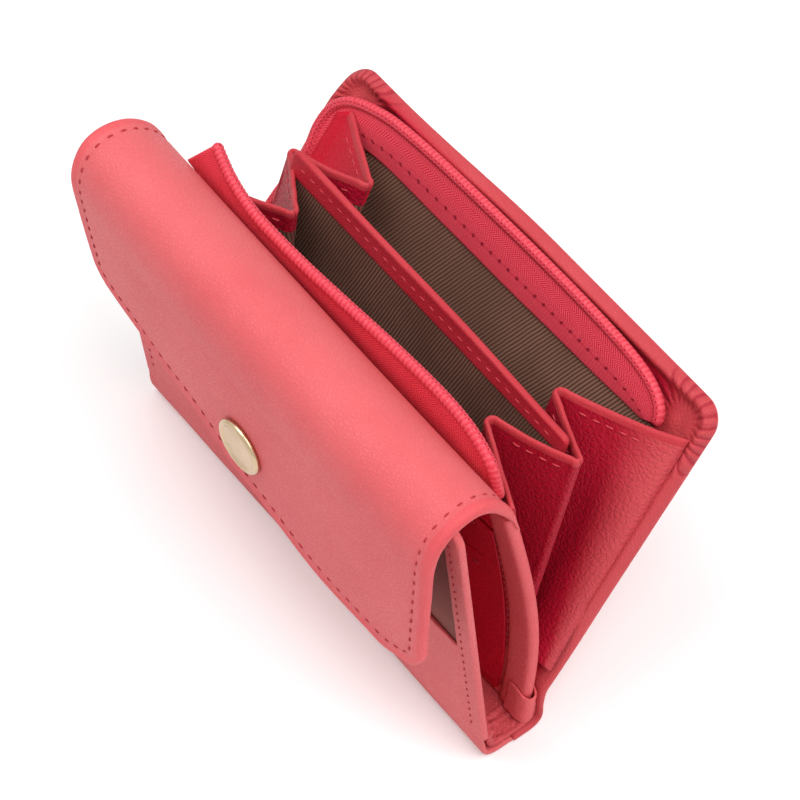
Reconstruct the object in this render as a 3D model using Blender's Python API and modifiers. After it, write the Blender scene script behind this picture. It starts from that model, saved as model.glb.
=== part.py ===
"""A small leather wallet with a zipped coin pocket, standing open on its spine.

Metres, +X along the wallet, +Y to the rear, +Z up. The origin is the middle of the flat base.
Each leather sheet is a plate in the frame of the part that carries it: x along the wallet,
w through the sheet (towards the rear) and s up the sheet from its fold.
"""

import bpy
import bmesh
from math import atan2, cos, pi, radians, sin, tan
from mathutils import Vector, geometry

# Overall sizes
cover_width = 0.100
front_cover_height = 0.0705
rear_cover_height = 0.0636
spine_depth = 0.0136
gap = 0.0003
leather = 0.0012
lining = 0.0004

# Leans of the sheets at rest, in degrees towards the rear
front_lean = -5.0
middle_lean = -3.4
rear_lean = 35.0

# Spine
spine_corner = 0.0030
spine_front_height = 0.0052
spine_rear_height = 0.0078
spine_lining_inset = 0.0010
arc_steps = 6

# Covers
cover_corner = 0.0040
cover_edge_round = 0.00035
rear_board = 0.0018
front_board = 0.0012

# Front cover's slip pocket and lining
front_pocket_height = 0.0300
front_pocket_inset = 0.0006
front_pocket_foot = 0.0015
pocket_leaf = 0.0008
front_lining_margin = 0.0030
front_facing_margin = 0.0040
front_lining_foot = 0.0040

# Middle panel, which is the coin pocket's front wall
middle_width = 0.0970
middle_board = 0.0012
middle_height = 0.0660
middle_foot = 0.0028
card_leaf = 0.0005
card_width = 0.0900
card_pocket_foot = 0.0030
card_pocket_height = 0.0520
card_pocket_step = 0.0130
card_pocket_count = 2
card_notch_radius = 0.0070

# Coin pocket linings
pocket_width = 0.0890
pocket_foot = 0.0100
front_lining_height = 0.0640
rear_lining_height = 0.0530

# Divider
divider_width = 0.0750
divider_height = 0.0555
divider_band = 0.0080
divider_band_thickness = 0.0018
divider_sheet = 0.0009
divider_foot = 0.0080
divider_corner = 0.0020

# Gussets: half widths of the folds, and where each fold lies between the middle and rear sheets
gusset_sheet = 0.0007
gusset_right_wall_x = 0.0455
gusset_left_wall_x = 0.0390
gusset_inner_x = 0.0270
gusset_outer_x = 0.0415
gusset_fold = 0.0009
gusset_pinch = 0.0013
gusset_low_z = 0.0210
gusset_top_radius = 0.0545
gusset_front_rise = 0.0050
gusset_fold_shares = (0.99, 0.725, 0.5, 0.275, 0.01)
gusset_foot_shares = (0.98, 0.80, 0.5, 0.20, 0.02)
gusset_turn_steps = 4
gusset_rows = 3

# Zip
tape_sheet = 0.0005
tape_width = 0.0078
coil_radius = 0.0007
front_tape_top = 0.0738
rear_tape_top = 0.0600
tape_left_x = -0.0480
front_tape_right_x = 0.0440
rear_tape_right_x = 0.0410
tape_left_corner = 0.0100
tape_right_corner = 0.0050
front_tape_left_foot = 0.0270
rear_tape_left_foot = 0.0240
front_tape_right_foot = 0.0660
rear_tape_right_foot = 0.0555
chain_x = -0.0521
chain_depth = 0.0014
chain_width = 0.0030
chain_foot = 0.0040
chain_top = 0.0215
end_tape_sheet = 0.0010
end_tape_inner_x = -0.0465
slider_wall = 0.0007
slider_length = 0.0085
slider_foot = 0.0050
slider_lip = 0.0005
pin_radius = 0.0004
pin_drop = 0.0020
lug_radius = 0.0008
lug_width = 0.0006
eye_radius = 0.0011
eye_width = 0.0016
pull_length = 0.0125
pull_width = 0.0042
pull_neck = 0.0014
pull_sheet = 0.0008

# Flap: the arch over the wallet's top and the sheet that hangs in front
flap_half_width = 0.0490
flap_leather = 0.0013
flap_lining_sheet = 0.0005
flap_lining_margin = 0.0012
flap_corner = 0.0050
flap_bow = 0.0055
flap_reach = 0.0175
flap_hang = 0.0362
flap_columns = 20
arch_steps = 12
hang_steps = 8
arch_shares = ((0, 0), (-0.11, 0.28), (-1.11, 0.53), (-1.0, -0.08))
hang_shares = ((-1.0, -0.08), (-1.03, -0.38), (-1.0, -0.66), (-0.98, -0.93))

# Snap
snap_radius = 0.0058
snap_thickness = 0.0011
snap_rim = 0.0009
snap_dish = 0.0002
snap_share = 0.50
socket_radius = 0.0040
socket_bore = 0.0022
socket_thickness = 0.0015
stud_radius = 0.0034
stud_plate = 0.0005
post_radius = 0.0014
post_head = 0.0003
post_length = 0.0014
round_sides = 32
turn_merge = 0.00001
sharp_angle = 60.0

# End tabs over the bottom corners of the middle panel
tab_foot = 0.0010
tab_height = 0.0120
tab_sheet = 0.0005
tab_inner_x = 0.0458


def leaned(lean, w, s):
    """The (y, z) offset of the sheet point (w, s) of a sheet with this lean in degrees."""
    angle = radians(lean)
    return Vector((0, w * cos(angle) + s * sin(angle), s * cos(angle) - w * sin(angle)))


hinge_radius = rear_board / 2
front_hinge_radius = front_board / 2
half_depth = spine_depth / 2
half_width = cover_width / 2
rear_hinge = Vector((0, half_depth - leather / 2, spine_rear_height + gap + hinge_radius))
front_hinge = Vector(
    (0, leather + pocket_leaf / 2 - half_depth, spine_front_height + gap + front_hinge_radius)
)
middle_y = half_depth - leather - lining - tab_sheet - middle_board / 2 - 4 * gap
middle_origin = Vector((0, middle_y, middle_foot))

flap_hinge = middle_origin + leaned(middle_lean, 0, middle_height + gap + flap_leather / 2)

leather_red = (0.78, 0.17, 0.19, 1)
lining_brown = (0.30, 0.23, 0.17, 1)
tape_red = (0.80, 0.08, 0.13, 1)
coil_red = (0.85, 0.12, 0.17, 1)
pale_gold = (0.78, 0.68, 0.50, 1)


def clear_scene():
    for obj in list(bpy.data.objects):
        bpy.data.objects.remove(obj, do_unlink=True)
    for collection in list(bpy.data.collections):
        bpy.data.collections.remove(collection)


clear_scene()
parts = bpy.data.collections.new("wallet")
cutters = bpy.data.collections.new("cutters")
cutters.hide_render = True
for collection in (parts, cutters):
    bpy.context.scene.collection.children.link(collection)


def material(name, colour, roughness, metallic=0.0):
    made = bpy.data.materials.new(name)
    made.use_nodes = True
    shader = made.node_tree.nodes["Principled BSDF"]
    shader.inputs["Base Color"].default_value = colour
    shader.inputs["Roughness"].default_value = roughness
    shader.inputs["Metallic"].default_value = metallic
    return made


def sheet_frame(name, origin, lean):
    """An empty at a fold, with its Z up the sheet and its Y through it."""
    frame = bpy.data.objects.new(name, None)
    parts.objects.link(frame)
    frame.location = origin
    frame.rotation_euler = (-radians(lean), 0, 0)
    return frame


def add_object(name, data, frame, look, home=parts):
    obj = bpy.data.objects.new(name, data)
    home.objects.link(obj)
    obj.parent = frame
    if look:
        colour, roughness, metallic = look
        data.materials.append(material(name, colour, roughness, metallic))
    return obj


def mesh_from(build, name):
    """A mesh of what build adds to an empty bmesh, with its faces turned outwards."""
    grid = bmesh.new()
    build(grid)
    bmesh.ops.recalc_face_normals(grid, faces=grid.faces)
    mesh = bpy.data.meshes.new(name)
    grid.to_mesh(mesh)
    grid.free()
    return mesh


def prism(name, outline, low, high, place, frame, look, home=parts):
    """A closed outline of (a, b) pairs, pushed from low to high; place(a, b, c) gives the point."""

    def build(grid):
        ends = [[grid.verts.new(place(a, b, c)) for a, b in outline] for c in (low, high)]
        for ring in ends:
            grid.faces.new(ring)
        for i in range(len(outline)):
            j = (i + 1) % len(outline)
            grid.faces.new((ends[0][i], ends[0][j], ends[1][j], ends[1][i]))

    return add_object(name, mesh_from(build, name), frame, look, home)


def plate(name, outline, low, high, frame, look, home=parts):
    """A flat sheet with an outline in (x, s), from w = low to w = high."""
    return prism(name, outline, low, high, lambda x, s, w: (x, w, s), frame, look, home)


def along_x(name, outline, low, high, frame, look, home=parts):
    """A profile in (w, s), run along the wallet from x = low to x = high."""
    return prism(name, outline, low, high, lambda w, s, x: (x, w, s), frame, look, home)


def up_sheet(name, outline, low, high, frame, look, home=parts):
    """A section in (x, w), run up the sheet from s = low to s = high."""
    return prism(name, outline, low, high, lambda x, w, s: (x, w, s), frame, look, home)


def joined(obj, others):
    """Fuses the others into obj, and keeps them as hidden tools."""
    for other in others:
        other.hide_render = True
        other.display_type = "WIRE"
        boolean = obj.modifiers.new(other.name, "BOOLEAN")
        boolean.object = other
        boolean.operation = "UNION"
        boolean.solver = "EXACT"
    return obj


def soften(obj, width):
    bevel = obj.modifiers.new("Soft edges", "BEVEL")
    bevel.width = width
    bevel.segments = 1
    bevel.limit_method = "ANGLE"
    bevel.angle_limit = radians(sharp_angle)
    return obj


def filleted(corners, closed=True):
    """The (a, b, radius) corners as points, with an arc at each corner that has a radius."""
    points = []
    count = len(corners)
    for i, (a, b, radius) in enumerate(corners):
        here = Vector((a, b))
        if not radius or (not closed and i in (0, count - 1)):
            points.append((a, b))
            continue
        before = (Vector(corners[i - 1][:2]) - here).normalized()
        after = (Vector(corners[(i + 1) % count][:2]) - here).normalized()
        half = before.angle(after) / 2
        reach = radius / tan(half)
        centre = here + (before + after).normalized() * (radius / sin(half))
        start = here + before * reach - centre
        finish = here + after * reach - centre
        turn = start.angle_signed(finish)
        first = atan2(start.y, start.x)
        for step in range(arc_steps + 1):
            angle = first - turn * step / arc_steps
            points.append((centre.x + radius * cos(angle), centre.y + radius * sin(angle)))
    return points


def rounded_box(left, right, low, high, top_radius, foot_radius=0):
    return filleted([
        (left, low, foot_radius),
        (right, low, foot_radius),
        (right, high, top_radius),
        (left, high, top_radius),
    ])


def tube(name, points, radius, frame, look):
    """A round cord through the (x, w, s) points."""
    curve = bpy.data.curves.new(name, "CURVE")
    curve.dimensions = "3D"
    curve.bevel_depth = radius
    curve.bevel_resolution = 1
    curve.use_fill_caps = True
    spline = curve.splines.new("POLY")
    spline.points.add(len(points) - 1)
    for point, place in zip(spline.points, points):
        point.co = (*place, 1)
    return add_object(name, curve, frame, look)


def cut(obj, tool):
    """Takes the tool's shape out of obj."""
    tool.hide_render = True
    tool.display_type = "WIRE"
    boolean = obj.modifiers.new(tool.name, "BOOLEAN")
    boolean.object = tool
    boolean.operation = "DIFFERENCE"
    boolean.solver = "EXACT"
    return obj


def circle(radius, centre_a=0.0, centre_b=0.0):
    steps = [2 * pi * i / round_sides for i in range(round_sides)]
    return [(centre_a + radius * cos(t), centre_b + radius * sin(t)) for t in steps]


def turned(name, profile, centre, frame, look):
    """A (radius, w) profile turned about the w axis through centre, from the outer side round."""
    mesh = bpy.data.meshes.new(name)
    mesh.from_pydata([(r, w, 0) for r, w in profile], [(i, i + 1) for i in range(len(profile) - 1)], [])
    obj = add_object(name, mesh, frame, look)
    obj.location = centre
    screw = obj.modifiers.new("Turn", "SCREW")
    screw.axis = "Y"
    screw.steps = round_sides
    screw.render_steps = round_sides
    screw.use_merge_vertices = True
    screw.merge_threshold = turn_merge
    screw.use_normal_flip = True
    return obj


leather_look = (leather_red, 0.5, 0.0)
lining_look = (lining_brown, 0.8, 0.0)
tape_look = (tape_red, 0.75, 0.0)
coil_look = (coil_red, 0.4, 0.0)
gold_look = (pale_gold, 0.25, 1.0)


def u_ribbon(inset, sheet, front_height, rear_height):
    """A U profile in (y, z), inset from the spine's outer face."""
    outer = spine_corner - inset
    inner = max(outer - sheet, gap)
    near, far = inset - half_depth, half_depth - inset
    return filleted([
        (near, front_height, 0),
        (near, inset, outer),
        (far, inset, outer),
        (far, rear_height, 0),
        (far - sheet, rear_height, 0),
        (far - sheet, inset + sheet, inner),
        (near + sheet, inset + sheet, inner),
        (near + sheet, front_height, 0),
    ])


def make_spine():
    outline = u_ribbon(0, leather, spine_front_height, spine_rear_height)
    along_x("spine_cover", outline, -half_width, half_width, None, leather_look)
    inside = u_ribbon(leather + gap, lining, spine_front_height, spine_rear_height)
    end = half_width - spine_lining_inset
    along_x("spine_lining", inside, -end, end, None, leather_look)


def make_middle_panel(frame):
    half = middle_width / 2
    outline = rounded_box(-half, half, 0, middle_height, 0, spine_corner)
    panel = plate("middle_panel", outline, -middle_board / 2, middle_board / 2, frame, leather_look)
    soften(panel, cover_edge_round)
    half = pocket_width / 2
    low = middle_board / 2 + gap
    outline = rounded_box(-half, half, pocket_foot, front_lining_height, 0)
    plate("coin_lining_front", outline, low, low + lining, frame, lining_look)


def make_card_pockets(frame):
    """Stepped card pockets on the middle panel's front face, the lowest one in front."""
    half = card_width / 2
    for number in range(card_pocket_count):
        high = -middle_board / 2 - gap - number * (card_leaf + gap)
        top = card_pocket_height - number * card_pocket_step
        outline = rounded_box(-half, half, card_pocket_foot, top, 0)
        name = f"card_pocket_{number + 1}"
        leaf = plate(name, outline, high - card_leaf, high, frame, leather_look)
        notch = circle(card_notch_radius, 0, top + card_notch_radius / 2)
        cut(leaf, plate(f"{name}_notch", notch, high - card_leaf - gap, high + gap, frame, None, cutters))


def make_end_tabs(frame):
    """A folded tab over each bottom corner of the middle panel."""
    inner = middle_board / 2 + gap
    outer = inner + tab_sheet
    edge = middle_width / 2 + gap
    for side, name in ((1, "end_tab_right"), (-1, "end_tab_left")):
        fold = [
            (tab_inner_x, inner),
            (edge, inner),
            (edge, -inner),
            (tab_inner_x, -inner),
            (tab_inner_x, -outer),
            (edge + tab_sheet, -outer),
            (edge + tab_sheet, outer),
            (tab_inner_x, outer),
        ]
        outline = [(side * x, w) for x, w in fold]
        up_sheet(name, outline, tab_foot, tab_foot + tab_height, frame, leather_look)


def tape_outline(top, right_x, left_foot, right_foot):
    """An L-shaped band: across the top and down the left side, with a short turned right end."""
    inner_left = tape_left_x + tape_width
    inner_top = top - tape_width
    inner_right = right_x - tape_width
    return filleted([
        (right_x, right_foot, 0),
        (right_x, top, tape_right_corner),
        (tape_left_x, top, tape_left_corner),
        (tape_left_x, left_foot, 0),
        (inner_left, left_foot, 0),
        (inner_left, inner_top, tape_left_corner - tape_width),
        (inner_right, inner_top, 0),
        (inner_right, right_foot, 0),
    ])


def coil_path(top, right_x, left_foot, right_foot, w):
    """The coil's line, just outside the tape's free edge."""
    out = coil_radius + gap
    flat = filleted([
        (right_x + out, right_foot, 0),
        (right_x + out, top + out, tape_right_corner + out),
        (tape_left_x - out, top + out, tape_left_corner + out),
        (tape_left_x - out, left_foot, 0),
    ], closed=False)
    return [(x, w, s) for x, s in flat]


def make_zip_half(side, frame, near, sizes):
    """One half of the zip: its tape from w = near, and the coil along its free edge."""
    far = near + tape_sheet
    plate(f"{side}_zip_tape", tape_outline(*sizes), near, far, frame, tape_look)
    tube(f"{side}_zip_coil", coil_path(*sizes, (near + far) / 2), coil_radius, frame, coil_look)


def make_front_cover(frame):
    """The front cover, its cloth facing, its outer slip pocket and its lining."""
    half = half_width
    outline = rounded_box(-half, half, 0, front_cover_height, cover_corner)
    board = plate("front_panel", outline, -front_board / 2, front_board / 2, frame, leather_look)
    soften(board, cover_edge_round)
    half = half_width - front_facing_margin
    high = -front_board / 2 - gap
    top = front_cover_height - front_facing_margin
    outline = rounded_box(-half, half, front_lining_foot, top, cover_corner)
    plate("front_facing", outline, high - lining, high, frame, lining_look)
    half = half_width - front_pocket_inset
    high -= lining + gap
    outline = rounded_box(-half, half, front_pocket_foot, front_pocket_height, 0, front_pocket_foot)
    plate("front_pocket", outline, high - pocket_leaf, high, frame, leather_look)
    half = half_width - front_lining_margin
    low = front_board / 2 + gap
    top = front_cover_height - front_lining_margin
    outline = rounded_box(-half, half, front_lining_foot, top, cover_corner)
    plate("front_lining", outline, low, low + lining, frame, lining_look)


def make_rear_cover(frame):
    outline = rounded_box(-half_width, half_width, 0, rear_cover_height, cover_corner)
    panel = plate("rear_panel", outline, -rear_board / 2, rear_board / 2, frame, leather_look)
    soften(panel, cover_edge_round)
    half = pocket_width / 2
    high = -rear_board / 2 - gap
    outline = rounded_box(-half, half, pocket_foot, rear_lining_height, 0)
    plate("rear_lining", outline, high - lining, high, frame, lining_look)


def make_divider(frame):
    """The ribbed divider sheet and the leather band folded over its top."""
    half = divider_width / 2
    low = divider_height - divider_band
    outline = rounded_box(-half, half, divider_foot, low - gap, 0)
    plate("divider_lining", outline, -divider_sheet / 2, divider_sheet / 2, frame, lining_look)
    outline = rounded_box(-half, half, low, divider_height, divider_corner)
    half = divider_band_thickness / 2
    band = plate("divider_band", outline, -half, half, frame, leather_look)
    soften(band, cover_edge_round)


def fan_line(share, foot_share):
    """Foot and top of one gusset fold, between the middle sheet's face and the rear sheet's face."""
    front_face = middle_board / 2 + lining + 2 * gap + gusset_sheet / 2
    rear_face = rear_board / 2 + lining + tape_sheet + 3 * gap + gusset_sheet / 2
    front = middle_origin + leaned(middle_lean, front_face, 0)
    front_y = front.y + (gusset_low_z - front.z) * tan(radians(middle_lean))
    rear = rear_hinge + leaned(rear_lean, -rear_face, 0)
    rear_y = rear.y + (gusset_low_z - rear.z) * tan(radians(rear_lean))
    foot = Vector((0, front_y * (1 - foot_share) + rear_y * foot_share, gusset_low_z))
    radius = gusset_top_radius + gusset_front_rise * max(0, 1 - 2 * share)
    front_top = front + leaned(middle_lean, 0, radius)
    rear_top = rear + leaned(rear_lean, 0, radius)
    lean = middle_lean + (rear_lean - middle_lean) * share
    centre = front.lerp(rear, share)
    top = centre + leaned(lean, 0, radius)
    return foot, top


def divider_place():
    """The fold and the lean of the divider, which ends in the gussets' middle folds."""
    foot, top = fan_line(gusset_fold_shares[2], gusset_foot_shares[2])
    slope = (top.y - foot.y) / (top.z - foot.z)
    pivot = Vector((0, foot.y - (foot.z - rear_hinge.z) * slope, rear_hinge.z))
    return pivot, atan2(slope, 1) * 180 / pi


def gusset_section(wall_x):
    """(x, share, foot share, offset) round the folds, from the rear wall to the front wall."""
    section = [(wall_x, gusset_fold_shares[0], gusset_foot_shares[0], 0)]
    turns = (
        (gusset_inner_x, 1, gusset_fold, -1),
        (gusset_outer_x, 2, gusset_pinch, 1),
        (gusset_inner_x, 3, gusset_fold, -1),
    )
    for x, fold, radius, outward in turns:
        for step in range(gusset_turn_steps + 1):
            angle = pi * step / gusset_turn_steps
            across = x + outward * radius * (sin(angle) - 1)
            shares = (gusset_fold_shares[fold], gusset_foot_shares[fold])
            section.append((across, *shares, radius * cos(angle)))
    section.append((wall_x, gusset_fold_shares[-1], gusset_foot_shares[-1], 0))
    return section


def make_gusset(name, side, wall_x):
    """A folded side wall: four leaves between the rear cover, the divider and the middle panel."""
    section = gusset_section(wall_x)

    def build(grid):
        rows = []
        for row in range(gusset_rows + 1):
            ring = []
            for x, share, foot_share, offset in section:
                foot, top = fan_line(share, foot_share)
                lean = atan2(top.y - foot.y, top.z - foot.z)
                point = foot.lerp(top, row / gusset_rows) + Vector((0, cos(lean), -sin(lean))) * offset
                ring.append(grid.verts.new((side * x, point.y, point.z)))
            rows.append(ring)
        for lower, upper in zip(rows, rows[1:]):
            for i in range(len(section) - 1):
                grid.faces.new((lower[i], lower[i + 1], upper[i + 1], upper[i]))

    gusset = add_object(name, mesh_from(build, name), None, leather_look)
    thicken = gusset.modifiers.new("Sheet", "SOLIDIFY")
    thicken.thickness = gusset_sheet
    thicken.offset = 0
    return gusset


def flap_line():
    """The flap's side view in (y, z) from its fold: an arch, then the sheet that hangs in front."""
    runs = ((arch_shares, arch_steps), (hang_shares, hang_steps))
    points = []
    for shares, steps in runs:
        knots = [Vector((y * flap_reach, z * flap_hang)) for y, z in shares]
        run = geometry.interpolate_bezier(*knots, steps + 1)
        points += run[1:] if points else run
    return points


def offset_line(points, distance):
    """The line moved sideways by distance, towards its inner side."""
    moved = []
    for i, point in enumerate(points):
        before = points[max(i - 1, 0)]
        after = points[min(i + 1, len(points) - 1)]
        along = (after - before).normalized()
        moved.append(point + Vector((-along.y, along.x)) * distance)
    return moved


def foot_rise(x):
    """How far the flap's lower edge rises above its middle at this distance from the middle."""
    rise = flap_bow * (x / flap_half_width) ** 2
    into = max(abs(x) - (flap_half_width - flap_corner), 0)
    return rise + flap_corner - max(flap_corner ** 2 - into ** 2, 0) ** 0.5


def make_flap_sheet(name, inset, sheet, margin, frame, look):
    """A sheet along the flap's line, with round lower corners and a bowed lower edge."""
    line = offset_line(flap_line(), inset)
    half = flap_half_width - margin
    turns = [pi * (2 * i / flap_columns - 1) / 2 for i in range(flap_columns + 1)]

    def build(grid):
        columns = []
        for turn in turns:
            share = sin(turn)
            rise = foot_rise(share * flap_half_width) + margin
            column = []
            for i, point in enumerate(line):
                reach_down = max(i - arch_steps, 0) / hang_steps
                hung = point.y + rise * reach_down
                column.append(grid.verts.new((share * half, point.x, hung)))
            columns.append(column)
        for left, right in zip(columns, columns[1:]):
            for i in range(len(line) - 1):
                grid.faces.new((left[i], left[i + 1], right[i + 1], right[i]))

    flap = add_object(name, mesh_from(build, name), frame, look)
    thicken = flap.modifiers.new("Sheet", "SOLIDIFY")
    thicken.thickness = sheet
    thicken.offset = 0
    return flap


def snap_place():
    """The point of the flap's line behind the snap, and the line's lean there in degrees."""
    line = flap_line()
    i = arch_steps + round(hang_steps * snap_share)
    along = line[i - 1] - line[i + 1]
    return Vector((0, line[i].x, line[i].y)), atan2(along.x, along.y) * 180 / pi


def make_snap(flap_frame, front_frame):
    """The cap and socket on the flap, and the stud on the front cover above its pocket."""
    place, lean = snap_place()
    frame = sheet_frame("snap_centre", place, lean)
    frame.parent = flap_frame
    back = -flap_leather / 2 - gap
    front = back - snap_thickness
    cap = [
        (0, front + snap_dish),
        (snap_radius - snap_rim - snap_dish, front + snap_dish),
        (snap_radius - snap_rim, front),
        (snap_radius - snap_dish, front + snap_dish),
        (snap_radius, (front + back) / 2),
        (snap_radius - snap_dish, back),
        (0, back),
    ]
    turned("snap_cap", cap, (0, 0, 0), frame, gold_look)
    near = flap_leather / 2 + flap_lining_sheet + 2 * gap
    far = near + socket_thickness
    socket = [
        (socket_bore, near),
        (socket_radius, near),
        (socket_radius, far - snap_dish),
        (socket_radius - snap_dish, far),
        (socket_bore, far),
        (socket_bore, near),
    ]
    turned("snap_socket", socket, (0, 0, 0), frame, gold_look)
    world = flap_hinge + place
    offset = world - front_hinge
    angle = radians(front_lean)
    height = offset.z * cos(angle) + offset.y * sin(angle)
    base = -front_board / 2 - lining - 2 * gap
    shoulder = base - stud_plate
    tip = shoulder - post_length
    stud = [
        (0, tip),
        (post_radius - post_head, tip),
        (post_radius, tip + post_head),
        (post_radius - post_head, shoulder),
        (stud_radius, shoulder),
        (stud_radius, base),
        (0, base),
    ]
    turned("snap_stud", stud, (0, 0, height), front_frame, gold_look)


def make_zip_end(frame):
    """The joined end of the zip below the slider, outside the left edges, and its tapes."""
    half = chain_width / 2
    back = chain_x - chain_depth / 2
    face = chain_x + chain_depth / 2
    bevel = chain_depth / 2
    outline = [(back, bevel - half), (back, half - bevel), (face, half), (face, -half)]
    up_sheet("zip_chain_end", outline, chain_foot, chain_top, frame, coil_look)
    half = end_tape_sheet / 2
    outline = rounded_box(face + gap, end_tape_inner_x, chain_foot, chain_top, 0)
    plate("zip_end_tape", outline, -half, half, frame, tape_look)


def make_slider(frame):
    """A slider with a channel for the chain, a slot for its tapes and two lugs with a pin."""
    inside = chain_width / 2 + gap
    outside = inside + slider_wall
    mouth = end_tape_sheet / 2 + gap
    back = chain_x - chain_depth / 2 - gap
    face = chain_x + chain_depth / 2 + gap
    lip = face + slider_lip
    half_section = [(lip, outside), (lip, mouth), (face, mouth), (face, inside), (back, inside)]
    other_half = [(x, -w) for x, w in reversed(half_section)]
    spine = back - slider_wall
    section = half_section + other_half + [(spine, -outside), (spine, outside)]
    high = slider_foot + slider_length
    slider = up_sheet("zip_slider", section, slider_foot, high, frame, gold_look)
    pin_x = spine - eye_radius - gap
    pin_s = high - pin_drop
    lug = filleted([
        (back - slider_wall / 2, pin_s + lug_radius, 0),
        (pin_x - lug_radius, pin_s + lug_radius, lug_radius / 2),
        (pin_x - lug_radius, pin_s - lug_radius, lug_radius / 2),
        (back - slider_wall / 2, pin_s - lug_radius, 0),
    ])
    near = eye_width / 2 + gap
    far = near + lug_width
    middle = near + lug_width / 2
    tools = [
        plate("slider_lug_upper", lug, near, far, frame, None, cutters),
        plate("slider_lug_lower", lug, -far, -near, frame, None, cutters),
        plate("slider_pin", circle(pin_radius, pin_x, pin_s), -middle, middle, frame, None, cutters),
    ]
    joined(slider, tools)
    return pin_x, pin_s


def make_pull(frame):
    """The pull tab, with an eye round the slider's pin."""
    half = pull_sheet / 2
    eye_foot = -eye_radius / 2
    tab_top = -eye_radius - pull_neck
    neck = eye_width / 2
    wide = pull_width / 2
    sides = filleted([
        (neck, eye_foot, 0),
        (neck, tab_top, 0),
        (wide, tab_top - pull_neck, pull_neck),
        (wide, -pull_length, wide - gap),
        (-wide, -pull_length, wide - gap),
        (-wide, tab_top - pull_neck, pull_neck),
        (-neck, tab_top, 0),
        (-neck, eye_foot, 0),
    ])
    pull = prism("zip_pull", sides, -half, half, lambda w, s, x: (x, w, s), frame, gold_look)
    joined(pull, [plate("pull_eye", circle(eye_radius), -neck, neck, frame, None, cutters)])
    bore = circle(pin_radius + gap)
    cut(pull, plate("pull_bore", bore, -eye_width, eye_width, frame, None, cutters))


def main():
    make_spine()
    middle = sheet_frame("middle_fold", middle_origin, middle_lean)
    make_middle_panel(middle)
    make_card_pockets(middle)
    make_end_tabs(middle)
    near = middle_board / 2 + lining + 2 * gap
    sizes = (front_tape_top, front_tape_right_x, front_tape_left_foot, front_tape_right_foot)
    make_zip_half("front", middle, near, sizes)

    front = sheet_frame("front_fold", front_hinge, front_lean)
    make_front_cover(front)

    rear = sheet_frame("rear_fold", rear_hinge, rear_lean)
    make_rear_cover(rear)
    near = -rear_board / 2 - lining - tape_sheet - 2 * gap
    sizes = (rear_tape_top, rear_tape_right_x, rear_tape_left_foot, rear_tape_right_foot)
    make_zip_half("rear", rear, near, sizes)

    divider = sheet_frame("divider_fold", *divider_place())
    make_divider(divider)
    make_gusset("gusset_right", 1, gusset_right_wall_x)
    make_gusset("gusset_left", -1, gusset_left_wall_x)

    flap = sheet_frame("flap_fold", flap_hinge, 0)
    make_flap_sheet("flap", 0, flap_leather, 0, flap, leather_look)
    inset = flap_leather / 2 + gap + flap_lining_sheet / 2
    make_flap_sheet("flap_lining", inset, flap_lining_sheet, flap_lining_margin, flap, leather_look)
    make_snap(flap, front)
    make_zip_end(divider)
    pin_x, pin_s = make_slider(divider)
    pin = sheet_frame("pull_pin", (pin_x, 0, pin_s), 0)
    pin.parent = divider
    make_pull(pin)


main()
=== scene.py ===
"""Looks of the small leather wallet: materials, turned edges, stitches, zip, linings and light.

Points are in millimetres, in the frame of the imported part, and become metres in the meshes.
Each sheet is made in its own place: x along the wallet, w through the sheet and s up from its fold.
"""

import bmesh
import bpy
from bisect import bisect_left
from math import asin, ceil, cos, exp, hypot, pi, radians, sin, sqrt
from mathutils import Matrix, Vector, noise


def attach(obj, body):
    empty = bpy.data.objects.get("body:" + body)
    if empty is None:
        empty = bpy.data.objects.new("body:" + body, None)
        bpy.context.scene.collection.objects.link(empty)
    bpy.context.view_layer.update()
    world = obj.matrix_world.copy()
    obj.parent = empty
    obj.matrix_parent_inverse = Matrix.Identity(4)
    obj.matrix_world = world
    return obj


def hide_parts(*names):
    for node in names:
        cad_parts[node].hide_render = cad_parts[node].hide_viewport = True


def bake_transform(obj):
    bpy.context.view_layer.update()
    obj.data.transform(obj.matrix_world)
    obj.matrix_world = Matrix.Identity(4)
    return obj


MM = 0.001

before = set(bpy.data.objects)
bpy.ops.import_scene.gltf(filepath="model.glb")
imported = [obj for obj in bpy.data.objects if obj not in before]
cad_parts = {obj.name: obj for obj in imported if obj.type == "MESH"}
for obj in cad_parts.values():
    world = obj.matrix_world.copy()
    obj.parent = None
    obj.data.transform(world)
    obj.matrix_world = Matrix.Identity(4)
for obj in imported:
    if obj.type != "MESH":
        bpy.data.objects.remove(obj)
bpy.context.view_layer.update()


def add_object(name, data):
    obj = bpy.data.objects.new(name, data)
    bpy.context.scene.collection.objects.link(obj)
    return obj


def add_node(tree, kind, values=(), **settings):
    """A shader node whose inputs are numbers, colours or outputs of other nodes."""
    made = tree.nodes.new("ShaderNode" + kind)
    for key, value in settings.items():
        setattr(made, key, value)
    for key, value in dict(values).items():
        value = getattr(value, "socket", value)
        if hasattr(value, "is_output"):
            tree.links.new(value, made.inputs[key])
        else:
            made.inputs[key].default_value = value
    return made


# Camera

def make_camera():
    data = bpy.data.cameras.new("camera")
    data.sensor_width = 36.0
    data.lens = 173.83
    data.shift_x, data.shift_y = -0.00792, -0.00184
    data.clip_start, data.clip_end = 0.05, 20.0
    az, el, roll = radians(52.8777), radians(54.9212), radians(-0.3869)
    back = Vector((sin(az) * cos(el), -cos(az) * cos(el), sin(el)))
    right = Vector((cos(az), sin(az), 0))
    up = back.cross(right)
    right, up = right * cos(roll) + up * sin(roll), up * cos(roll) - right * sin(roll)
    camera = add_object("camera", data)
    turn = Matrix((right, up, back)).transposed().to_4x4()
    camera.matrix_world = Matrix.Translation((0.30736, -0.21774, 0.58344)) @ turn
    bpy.context.scene.camera = camera


# Light and floor

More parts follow.
